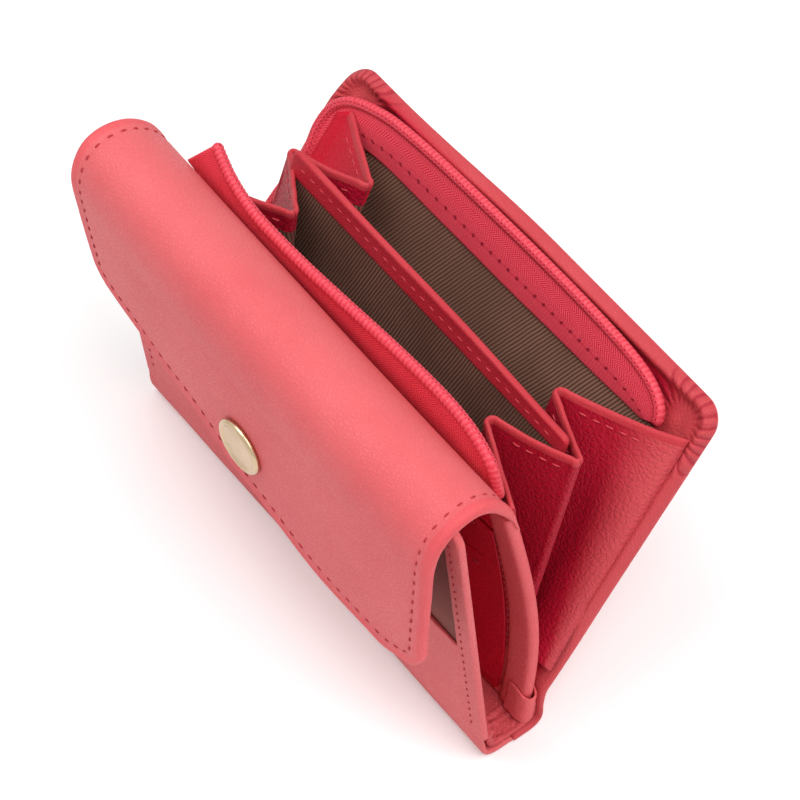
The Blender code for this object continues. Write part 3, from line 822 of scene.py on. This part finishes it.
def make_rear_zip():
    coil_knots = [
        (-48.6, -3.2, 21.0), (-48.3, -3.0, 30.0), (-47.4, -3.0, 38.0), (-46.9, -3.0, 43.7), (-47.5, -3.0, 48.7),
        (-46.9, -3.0, 52.9), (-45.0, -3.0, 56.0), (-42.0, -3.0, 58.2), (-37.5, -3.0, 59.8), (-32.4, -3.0, 60.8),
        (-22.2, -3.0, 62.1), (-9.0, -3.0, 63.0), (4.5, -3.0, 63.3), (18.0, -3.0, 63.3), (29.0, -3.0, 62.9),
        (35.5, -2.9, 61.9), (39.3, -2.8, 60.2), (40.9, -2.6, 57.6), (41.0, -2.3, 55.0),
    ]
    coil_knots = [(x, w, s - ease(s, 54.0, 60.0) * (0.55 + 1.0 * ease(x, -34.0, -12.0))) for x, w, s in coil_knots]
    sewn_knots = [
        (-40.6, -2.2, 21.0), (-40.6, -2.2, 30.0), (-40.6, -2.2, 38.0), (-40.6, -2.2, 43.0), (-40.4, -2.2, 46.5),
        (-39.8, -2.2, 49.5), (-38.2, -2.1, 51.2), (-35.0, -2.05, 51.9), (-31.0, -2.0, 52.2), (-27.0, -2.0, 52.3),
        (-19.0, -2.0, 52.3), (-9.0, -2.0, 52.4), (3.0, -2.0, 52.5), (15.0, -2.0, 52.8), (25.0, -2.0, 53.0),
        (30.0, -2.0, 53.2), (33.5, -2.0, 53.4), (36.0, -2.0, 53.5), (38.0, -2.0, 53.6),
    ]
    up = out_of(rear, -1)
    sewn, edge = ([rear(*p) for p in smooth_line(knots, per=8)] for knots in (sewn_knots, coil_knots))
    obj = ruled("rear_zip_tape_weave", sewn, edge, 9.5, 0.62, [tape], lambda t: up * (0.35 * sin(pi * t) - 0.15))
    settle(obj, "rear_cover", "tape", "rear_zip_tape")
    line = resample(smooth_line([rear(*knot) for knot in coil_knots], 1.0), COIL_STEP)
    obj = tube_mesh("rear_zip_coil_cover", line, COIL_RADIUS, [coil], 16, 0.02, COIL_PITCH, up)
    settle(obj, "rear_cover", "coil", "rear_zip_coil")


# Front cover

FRONT_TILT = (-0.08716, 0.99619)


def make_front_outer():
    foot = [(0.0, 0.62), (-2.0, 0.62), (-3.7, 0.66), (-5.1, 1.15), (-6.0, 2.3), (-6.3, 3.9), (-6.6, 5.6)]
    up = [(-6.95 + FRONT_TILT[0] * s, 5.95 + FRONT_TILT[1] * s) for s in (1.8, 5, 12, 20, 27, 30.4)]
    at, total = along_line(foot + up)

    def outer(x, s, d):
        crease = -0.14 * hump(x, 39.0, 0.6) * ease(s, 8, 14)
        thin = (0.34 * ease(abs(x), 36.0, 44.0) + 0.52 * ease(abs(x), 45.2, 47.0)) * ease(s, 8.0, 13.0)
        return 0.50 - thin + crease + 0.06 * ripple(x, s, 0.1, 9.0)

    obj = pad(
        "front_slip_pocket_leather", at, 49.7, 0.0, total, constant(-0.45), outer, [leather], step=1.2, edge=0.35,
    )
    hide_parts("front_pocket", "spine_cover")
    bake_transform(obj)


def make_front_panel():
    outline = (50.0, 0.6, 70.9)
    corners = (4.0, 1.0)

    def outer(x, s, d):
        return -1.62 + 0.55 * ease(d, 4.3, 5.0) + 0.10 * hump(d, 3.0, 0.35) + 0.04 * ripple(x, s, 0.15, 4.0)

    obj = pad(
        "front_cover_leather", front, *outline, outer, lambda x, s, d: -0.22 + 0.12 * hump(d, 1.2, 1.0),
        [leather, leather_inside_painted_shade], *corners, step=1.2, edge=0.55,
        pick=lambda x, s, side: 1 if side and box_depth(x, s, *outline, *corners) > 1.2 else 0,
        edge_list=(0.0, 0.07, 0.2, 0.45, 0.8, 1.3, 2.0, 2.6, 3.0, 3.4, 4.0, 4.4, 4.7, 5.1, 6.0),
    )
    settle(obj, "front_cover", "leather", "front_panel")
    obj = pad(
        "front_facing_cloth", front, 45.6, 4.0, 66.4, constant(-1.30), constant(-1.02), [lining_facing_painted_cast],
        top_corner=2.0, step=2.0, edge=0.12,
    )
    settle(obj, "front_cover", "lining", "front_facing")
    obj = pad(
        "front_inner_lining", front, 46.8, 4.0, 67.3, constant(-0.18),
        lambda x, s, d: 0.12 + 0.05 * ripple(x, s, 0.1, 6.0), [leather_inside_painted_shade], top_corner=3.0, step=2.0, edge=0.15,
    )
    settle(obj, "front_cover", "lining", "front_lining")
    route = [(46.9, 2.5), (46.9, 64.0), (46.2, 66.6), (44.0, 67.6)]
    route += [(-x, s) for x, s in reversed(route)]
    stitch_row("front_cover_stitches", "front_cover", front, route, -1.52, thread_dark, pitch=2.4, share=0.40)


# Spine's inside, which gathers at its ends

def make_spine_inside():
    rise = [(3.0, 1.65), (4.6, 2.4), (5.25, 4.4), (5.3, 7.5)]
    at, total = along_line([(-y, z) for y, z in reversed(rise)] + [(0.0, 1.5)] + rise)

    def face(x, s, d):
        creases = abs(ripple(x * 0.8, s, 0.75, 1.0)) + 0.7 * abs(ripple(x, s, 1.5, 2.0))
        creases += 0.3 * ripple(x, s, 2.6, 5.0)
        return 0.42 + ease(abs(x), 38.0, 46.0) * (0.35 + 1.15 * creases * (1 - 0.5 * hump(s, total / 2, 1.5)))

    obj = pad(
        "spine_gathered_leather", at, 49.4, 0.3, total - 0.3, constant(-0.12), face, [leather_pleated], step=0.6,
        edge=0.3, edge_list=tuple(0.3 * k for k in range(26)),
    )
    settle(obj, "coin_section", "leather", "spine_lining")


# Middle panel with bound ends and the card pockets on its front

def make_middle():
    half = 48.5
    notch_half, notch_deep = 7.0, 5.2

    def face(sign):
        def value(x, s, d):
            side = half - abs(x)
            return sign * (0.55 + 0.62 * ease(6.3 - side, 0.0, 0.9) - 0.22 * hump(side, 6.6, 0.4))
        return value

    def shape(x, s):
        bow = 0.95 * sin(pi * limit(s / MIDDLE_TALL)) * ease(abs(x), 34.0, 47.0)
        return x + (bow if x > 0 else -bow), s

    obj = pad(
        "middle_panel_leather", middle, half, 0.0, 66.6, face(-1), face(1), [leather_edge, leather_inside_painted_shade],
        low_corner=3.0, step=1.3, edge=1.1, shape=shape, pick=lambda x, s, side: 1 if abs(x) < 41.8 else 0,
        edge_list=(0.0, 0.06, 0.2, 0.45, 0.8, 1.3, 2.0, 2.8, 3.7, 4.6, 5.3, 5.7, 6.1, 6.4, 6.8, 7.3),
    )
    settle(obj, "coin_section", "leather", "middle_panel")
    for side, end in ((1, "right"), (-1, "left")):
        route = [(side * 42.6, 14.0), (side * 42.9, 33.0), (side * 42.6, 64.0)]
        for w, seam in ((-0.66, "seam"), (0.66, "back")):
            stitch_row(f"middle_{seam}_stitches_{end}", "coin_section", middle, route, w, thread_dark, pitch=2.2)
    for index, (near, top) in enumerate(((-0.92, 54.5), (-1.62, 41.4)), 1):
        def leaf_face(w, caught):
            return lambda x, s, d: w + (caught - w) * ease(abs(x), 30.0, 41.5)

        obj = pad(
            f"card_pocket_leaf_{index}", middle, 42.2, 3.0, top,
            leaf_face(near - 0.5, -0.86), leaf_face(near, -0.60), [leather_inside_painted_shade], edge=0.25,
            edge_list=(0.0, 0.1, 0.3, 0.7, 1.3, 2.0),
            rise=lambda x: -sqrt(max(0.0, 1 - (x / notch_half) ** 2)) * notch_deep,
        )
        settle(obj, "coin_section", "leather", f"card_pocket_{index}")
        for end, first, last in (("left", -40.8, -9.0), ("right", 9.0, 40.8)):
            stitch_row(
                f"card_pocket_stitches_{index}_{end}", "coin_section", middle, [(first, top - 1.6), (last, top - 1.6)],
                near - 0.5, thread_dark, pitch=2.4,
            )
    obj = pad(
        "coin_front_lining_cloth", middle, 41.6, 10.0, 64.0, constant(0.70),
        lambda x, s, d: 1.12 + 0.08 * ripple(x, s, 0.09, 3.0), [lining_divider], step=1.8, edge=0.15,
    )
    settle(obj, "coin_section", "lining", "coin_lining_front")


def make_tabs():
    """The folded tabs over the middle panel's lower corners."""
    path = [(44.4, -1.20), (46.2, -1.32), (48.0, -1.30), (49.2, -0.8), (49.5, 0.0)]
    path += [(x, -w) for x, w in reversed(path[:-1])]
    for side, name in ((1, "right"), (-1, "left")):
        at, total = wrap_place(middle, [(side * x, w) for x, w in path])

        def out_face(x, s, d, side=side):
            return side * (0.30 + 0.14 * ripple(x, s, 0.8, 2.0))

        faces = (constant(-0.12 * side), out_face)[::side]
        obj = pad(
            f"end_tab_{name}_leather", at, total / 2, 0.4, 7.8, *faces, [leather_edge], step=0.6, edge=0.35,
            centre=total / 2, rise=lambda x: -0.6 * cos(x * 0.8), edge_list=(0.0, 0.08, 0.25, 0.5, 0.9),
        )
        settle(obj, "coin_section", "leather", f"end_tab_{name}")


# Flap

FLAP_LENGTH = 62.0
FLAP_HALF = 49.2
FLAP_POINTS = 240


def bezier(knots, steps):
    a, b, c, d = (Vector(k) for k in knots)
    ts = [i / steps for i in range(steps + 1)]
    return [a * (1 - t) ** 3 + b * (3 * t * (1 - t) ** 2) + c * (3 * t * t * (1 - t)) + d * t ** 3 for t in ts]


def flap_profiles():
    """The flap's (y, z) line at its left end, its middle and its right end, as evenly spaced points."""
    reach, hang = 17.5, 36.2
    arch = ((0, 0), (-0.11, 0.28), (-1.11, 0.53), (-1.0, -0.08))
    fall = ((-1.0, -0.08), (-1.03, -0.38), (-1.0, -0.66), (-0.98, -0.93))
    arch, fall = ([(y * reach, z * hang) for y, z in knots] for knots in (arch, fall))
    mid = [(-1.071 + p.x, 69.632 + p.y) for p in bezier(arch, 24) + bezier(fall, 16)[1:]]
    mid = [(-0.75, 66.0), (-0.95, 68.0)] + mid
    left = [(0.9, 66.2), (-0.9, 71.0), (-3.6, 76.2), (-7.8, 79.9), (-12.4, 80.9), (-15.9, 79.0), (-17.8, 73.6),
            (-17.2, 65.0), (-16.2, 56.0), (-15.2, 47.5), (-14.4, 36.6)]
    right = [(0.3, 66.2), (-1.6, 71.5), (-4.2, 76.1), (-8.0, 78.4), (-12.3, 77.8), (-15.8, 75.0), (-17.6, 70.0),
             (-18.2, 62.0), (-18.7, 54.0), (-19.1, 46.0), (-19.3, 36.2)]
    return [even(smooth_line(points, 0.4), FLAP_POINTS + 1) for points in (left, mid, right)]


FLAP_LINES = flap_profiles()


def flap_centre(x, s):
    """The flap's middle surface: a parabola through its three lines at each s."""
    share = limit(x / 49.0, -1.03, 1.03)
    weights = (share * (share - 1) / 2, 1 - share * share, share * (share + 1) / 2)
    t = limit(s / FLAP_LENGTH, 0.0, 1.04) * FLAP_POINTS
    low = min(int(t), FLAP_POINTS - 1)
    y = z = 0.0
    for weight, line in zip(weights, FLAP_LINES):
        p = line[low] + (line[low + 1] - line[low]) * (t - low)
        y += weight * p.x
        z += weight * p.y
    return Vector((x, y, z))


def flap_at(x, w, s):
    """The flap's place: s runs over the arch to the lower edge, and w is outwards."""
    along = flap_centre(x, s + 0.4) - flap_centre(x, max(s - 0.4, 0.0))
    across = flap_centre(x + 0.5, s) - flap_centre(x - 0.5, s)
    return flap_centre(x, s) + along.cross(across).normalized() * w


flap_rise = curve_of([
    (-49.2, -7.4), (-38.0, -7.0), (-19.0, -5.8), (0.0, -2.6), (21.0, -0.4), (38.0, -1.5), (46.0, -4.2), (49.2, -5.4),
])


def make_flap():
    def outer(x, s, d):
        depth = FLAP_HALF - abs(x) if s < 12 else d
        edge = 0.20 * hump(depth, 1.1, 0.9) - 0.15 * hump(depth, 3.0, 0.4)
        return 0.16 + 0.62 * ease(s, 0.0, 7.0) + edge + 0.09 * ripple(x, s, 0.055, 8.0)

    def inner(x, s, d):
        return -0.40 - 0.82 * ease(s, 2.0, 12.0)

    def pick(x, s, side):
        depth = box_depth(x, s, FLAP_HALF, -40.0, FLAP_LENGTH, 5.0, 0.0)
        if side == 0 and depth > 1.3:
            return 2
        return 1 if depth < 2.1 else 0

    obj = pad(
        "flap_leather", flap_at, FLAP_HALF, 0.0, FLAP_LENGTH, inner, outer, [leather, leather_edge, leather_inside_painted_shade],
        top_corner=5.0, edge=0.9, pick=pick, rise=flap_rise,
        edge_list=(0.0, 0.07, 0.22, 0.5, 0.9, 1.4, 2.0, 2.5, 2.85, 3.15, 3.5, 4.0, 4.7, 5.5),
    )
    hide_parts("flap", "flap_lining")
    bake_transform(obj)

    inset = corner = 3.0
    half, low = FLAP_HALF - inset, FLAP_LENGTH - inset
    bend = [(corner * cos(pi * k / 20), corner * sin(pi * k / 20)) for k in range(11)]
    route = [(-half, 6.0)]
    route += [(-half + corner - c, low - corner + n) for c, n in bend]
    route += [(half - corner + n, low - corner + c) for c, n in bend]
    route.append((half, 6.0))

    def lifted(x, w, s):
        return flap_at(x, w, s + flap_rise(x) * s / FLAP_LENGTH)

    spots = walk(route, 0.7)[:-1]
    line = [lifted(x, 0.66, s) for x, s in spots]
    ups = [lifted(x, 1.66, s) - here for (x, s), here in zip(spots, line)]
    obj = stitches("flap_stitches", None, line, ups, thread_dark, pitch=2.7, share=0.5)
    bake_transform(obj)


# Snap

def make_snap():
    """The bare cap: a (radius, y) profile turned about y, with a raised rim."""
    x0, y0, z0 = 0.0, -18.724, 50.944
    back, crown, sides = -0.80, -2.05, 72
    profile = [
        (4.2, back), (5.15, back), (5.38, back - 0.18), (5.45, back - 0.5), (5.40, back - 0.82), (5.22, crown + 0.16),
        (4.95, crown + 0.02), (4.66, crown), (4.38, crown + 0.06), (4.22, crown + 0.20), (4.08, crown + 0.26),
        (3.7, crown + 0.27), (3.0, crown + 0.24), (2.0, crown + 0.21), (1.0, crown + 0.185), (0.3, crown + 0.18),
    ]
    turns = [2 * pi * j / sides for j in range(sides)]
    points = [Vector((x0 + r * cos(a), y0 + w, z0 + r * sin(a))) for r, w in profile for a in turns]
    obj = make_mesh("snap_cap_turned", points, ring_faces(0, len(profile), sides), [gold])
    settle(obj, "flap", "metal", "snap_cap")


# Divider

def make_divider():
    obj = pad(
        "divider_ribbed_cloth", divider, 37.3, 8.0, 51.6, constant(-0.42), constant(0.42), [lining_divider],
        step=1.6, edge=0.2,
    )
    settle(obj, "divider", "lining", "divider_lining")
    top = 55.8

    def face(sign):
        return lambda x, s, d: sign * (0.60 + 0.10 * hump(top - s, 0.7, 0.6) - 0.14 * hump(top - s, 2.5, 0.3))

    # The band's side faces take painted shade, and its top takes the darker folded-edge leather, also painted shade.
    obj = pad(
        "divider_band_leather", divider, 37.9, 50.7, top, face(-1), face(1), [leather_fold_painted_shade, leather_band_painted_shade],
        top_corner=1.6, step=0.8, edge=0.6, pick=lambda x, s, side: 1 if s < 55.2 else 0,
        rise=lambda x: -1.1 * ease(x, 5.0, 38.0) + 0.5 * ease(-x, 10.0, 38.0),
    )
    settle(obj, "divider", "leather", "divider_band")
    route = [(-36.6, 53.7), (-10, 53.3), (10, 53.05), (36.6, 52.4)]
    for w, name in ((-0.56, "front"), (0.56, "rear")):
        stitch_row(
            f"divider_stitches_{name}", "divider", divider, route, w, thread_deep, pitch=2.6, share=0.66, radius=0.13,
        )


# Gussets: four leaves each

GUSSET_TALL = 48.0
LEAF_STEPS = 16
BEND_STEPS = 5
FOLD_WEIGHTS = (1.0, 0.725, 0.5, 0.275, 0.0)
FOLD_RADII = (0.0, 1.25, 0.75, 1.05, 0.0)
OFF_COVER = Vector((0, -0.819, 0.574))


def gusset_folds(side):
    """(x, foot, top) of the five fold lines, from the rear wall to the front wall."""
    if side > 0:
        places = (
            (47.4, (8.1, 14.5), (37.5, 56.7)), (26.8, (8.3, 15.0), (26.5, 57.9)), (41.4, (7.2, 15.0), (19.1, 60.4)),
            (26.8, (4.7, 15.0), (11.7, 62.4)), (46.3, (6.9, 15.0), (1.0, 68.3)),
        )
    else:
        places = (
            (44.8, (7.0, 15.7), (34.1, 54.9)), (26.8, (8.1, 15.0), (27.6, 58.2)), (41.2, (6.7, 15.0), (21.6, 57.9)),
            (26.8, (4.7, 15.0), (11.5, 63.1)), (40.5, (4.4, 15.0), (1.3, 67.2)),
        )
    return [(side * x, Vector((0, *foot)), Vector((0, *top))) for x, foot, top in places]


def share_at(weight):
    """The share of a blend's way at which its smooth weight has this value."""
    return 0.5 - sin(asin(1 - 2 * weight) / 3)


def cover_leaf_shift(side, h, t, first, last):
    """How far the leaf next to the rear cover stands off the straight line from first to last."""
    if side > 0:
        return OFF_COVER * (1.3 * sin(pi * min(2.0 * t, 1)) * (1 - 0.6 * h))
    belly = 1.3 * sin(pi * min(1.15 * t, 1)) * (1 - h) ** 2
    foot = 1.7 * ease(0.32 - h, 0.0, 0.25) * (1 - t) ** 2
    crease, crease_t = Vector((-44.0, 6.8, 15.8)).lerp(Vector((-42.2, 35.5, 57.4)), h), 0.25
    to_crease = (crease - first.lerp(last, crease_t)) * min(t / crease_t, (1 - t) / (1 - crease_t))
    return to_crease + OFF_COVER * (belly - foot)


def leaf_line(side, k, folds, h):
    """One level of leaf k: a round bend, the leaf with its belly and ripples, and the next round bend."""
    bends = []
    for fold in (k, k + 1):
        x, foot, top = folds[fold]
        slant = top - foot
        across = Vector((0, slant.z, -slant.y)).normalized()
        out = side * FOLD_RADII[fold] * (-1 if fold in (1, 3) else 1)

        def bend(angle, x=x, here=foot.lerp(top, h), across=across * FOLD_RADII[fold], out=out):
            return Vector((x + out * (sin(angle) - 1), 0, 0)) + here + across * cos(angle)

        bends.append(bend)
    first, last = bends[0](pi), bends[1](0.0)
    if k == 0:
        first.x += side * (0.3 + 1.5 * (1 - h))
    line = [bends[0](pi / 2 * (1 + n / BEND_STEPS)) for n in range(BEND_STEPS)] if FOLD_RADII[k] else []
    for n in range(LEAF_STEPS + 1):
        t = n / LEAF_STEPS
        point = first.lerp(last, t)
        if k == 0:
            point += cover_leaf_shift(side, h, t, first, last)
        belly = 0.45 * sin(pi * t) * sin(pi * min(h * 1.1, 1))
        point += Vector((side * belly * 0.6, 0, -0.7 * sin(pi * t) * h))
        line.append(point + Vector((0.10, 0.16, 0)) * ripple(t * 9 + k * 5, h * 20, 0.5, 3.0 + side))
    if FOLD_RADII[k + 1]:
        line += [bends[1](pi / 2 * n / BEND_STEPS) for n in range(1, BEND_STEPS + 1)]
    return line


def make_gusset(side):
    name = "right" if side > 0 else "left"
    folds = gusset_folds(side)
    heights = spread(0.0, 1.0, 0.045, (0.0, 0.004, 0.011, 0.020, 0.032, 0.046, 0.062, 0.080, 0.105))
    for k in range(4):
        centres = [leaf_line(side, k, folds, h) for h in heights]
        flat = [[(r + 40 * k, h * GUSSET_TALL) for r in lengths_of(line)] for h, line in zip(heights, centres)]

        def thick(i, j):
            down = (1.0 - heights[j]) * GUSSET_TALL
            thin = 0.25 + 0.75 * ease(flat[j][i][0], 0.0, 2.0) if k == 0 else 1.0
            return (0.36 + 0.12 * hump(down, 0.8, 0.7)) * thin * round_edge(down, 0.7)

        def pick(i, j, face_side):
            down = (1.0 - (heights[j] + heights[j + 1]) / 2) * GUSSET_TALL
            if down < 1.3:
                return 0 if k == 0 and side < 0 and i < 4 else 1
            outer_face = (face_side == 0) == (side < 0)
            return 0 if outer_face or down < 5.2 else 2

        own_look = leather_pebble_painted_shade if k else leather_leaf_painted_shade if side > 0 else leather_inside_painted_shade
        leaf = grid_sheet(
            f"gusset_{name}_leaf_{k + 1}", centres, flat, thick, [own_look, leather_fold_painted_shade, lining_divider], pick, True,
        )
        if k == 0:
            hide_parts(f"gusset_{name}")
        xa, xb = folds[k][0], folds[k + 1][0]
        ta, tb = share_at(FOLD_WEIGHTS[k]), share_at(FOLD_WEIGHTS[k + 1])
        slope = (xb - xa) / (tb - ta)
        start, end = (((xa + (t - ta) * slope) * MM, 0, 0.03) for t in (0, 1))
        seam = min(range(len(heights)), key=lambda j: abs((1 - heights[j]) * GUSSET_TALL - 2.8))
        here, above, below = centres[seam], centres[seam + 1], centres[seam - 1]
        first = BEND_STEPS if FOLD_RADII[k] or side < 0 else 1
        last = len(here) - (BEND_STEPS + 1 if FOLD_RADII[k + 1] else 2)
        ups = [(here[i + 1] - here[i - 1]).cross(above[i] - below[i]).normalized() for i in range(first, last)]
        for sign, label in ((1, "out"), (-1, "in")):
            line = [p + up * (0.35 * sign) for p, up in zip(here[first:last], ups)]
            row = stitches(
                f"gusset_{name}_stitches_{k + 1}_{label}", None, line, [up * sign for up in ups], thread_deep,
                pitch=2.5, share=0.66, radius=0.14, sink=0.02,
            )
            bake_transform(row)
            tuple(start)
            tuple(end)
        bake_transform(leaf)
        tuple(start)
        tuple(end)


# Front half of the zip

def make_front_zip():
    """The half of the zip behind the flap's fold, and the leg of it that goes down at the left end."""
    knots = [
        (-38.7, 4.3, 74.8), (-35.5, 3.4, 74.2), (-32.2, 2.5, 73.9), (-27.5, 1.7, 73.5), (-22.0, 1.2, 73.4),
        (-10.6, 1.1, 74.0), (1.4, 1.4, 75.0), (14.0, 1.9, 75.9), (25.8, 2.2, 76.3), (33.0, 2.0, 76.0),
        (37.5, 1.6, 75.0), (40.6, 1.2, 73.4), (42.0, 1.2, 69.7), (42.3, 1.4, 66.5),
    ]
    foot = [
        (-44.4, 2.0, 66.8), (-40.0, 1.8, 66.2), (-36.0, 1.5, 65.9), (-31.0, 1.3, 65.8),
        *((x, 1.2, 65.6) for x in (-25.0, -12.0, 0.0, 12.0, 22.0, 28.0, 31.5, 34.0)),
        (36.0, 1.2, 65.4), (37.5, 1.2, 65.2),
    ]
    obj = ruled(
        "front_zip_tape_weave", smooth_line(foot, per=8), smooth_line(knots, per=8), 8.4, 0.62, [tape_front_painted_light],
        lambda t: Vector((0, -0.5 * sin(pi * t), 0)),
    )
    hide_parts("front_zip_tape")
    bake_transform(obj)
    line = resample(smooth_line(knots), COIL_STEP)
    obj = tube_mesh("front_zip_coil_cover", line, COIL_RADIUS, [coil], 16, 0.05, COIL_PITCH, Vector((0, 1, 0.6)))
    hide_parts("front_zip_coil")
    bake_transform(obj)
    leg = [(-45.8, 1.5, 62.0), (-47.4, 1.8, 55.0), (-48.2, 2.2, 46.0), (-48.6, 2.8, 38.0), (-49.2, 3.6, 31.0)]
    inside = [(-40.4, 1.4, 62.0), (-40.6, 1.7, 55.0), (-40.8, 2.2, 46.0), (-41.2, 2.8, 38.0), (-42.0, 3.2, 31.0)]
    obj = ruled("front_zip_leg_tape", smooth_line(inside, per=8), smooth_line(leg, per=8), 8.0, 0.6, [tape])
    settle(obj, "coin_section", "tape")
    line = resample(smooth_line(leg), COIL_STEP)
    obj = tube_mesh("front_zip_leg_coil", line, 0.95, [coil], 12, 0.10, 1.02, Vector((0, 1, 0)))
    settle(obj, "coin_section", "coil")


# Closed end of the zip

def make_zip_end():
    obj = pad(
        "zip_end_tape_weave", divider, 2.35, 4.0, 21.6, constant(-0.42), constant(0.42), [tape], step=0.7, edge=0.25,
        centre=-48.8, edge_list=(0.0, 0.1, 0.3, 0.6),
    )
    settle(obj, "divider", "tape", "zip_end_tape")
    line = [divider(-52.1, 0.0, 4.2 + 0.28 * k) for k in range(62)]
    obj = tube_mesh("zip_closed_coil", line, 0.78, [coil], 12, 0.10, 1.0, out_of(divider), squash=1.3)
    settle(obj, "divider", "coil", "zip_chain_end")


def dress_metal():
    for name in ("snap_socket", "snap_stud", "zip_slider", "zip_pull"):
        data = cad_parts[name].data
        data.materials.clear()
        data.materials.append(gold)


make_camera()
make_light()
make_floor()
make_rear_outer()
make_rear_inside()
make_rear_zip()
make_front_outer()
make_front_panel()
make_spine_inside()
make_middle()
make_tabs()
make_flap()
make_snap()
make_divider()
make_gusset(1)
make_gusset(-1)
make_front_zip()
make_zip_end()
dress_metal()
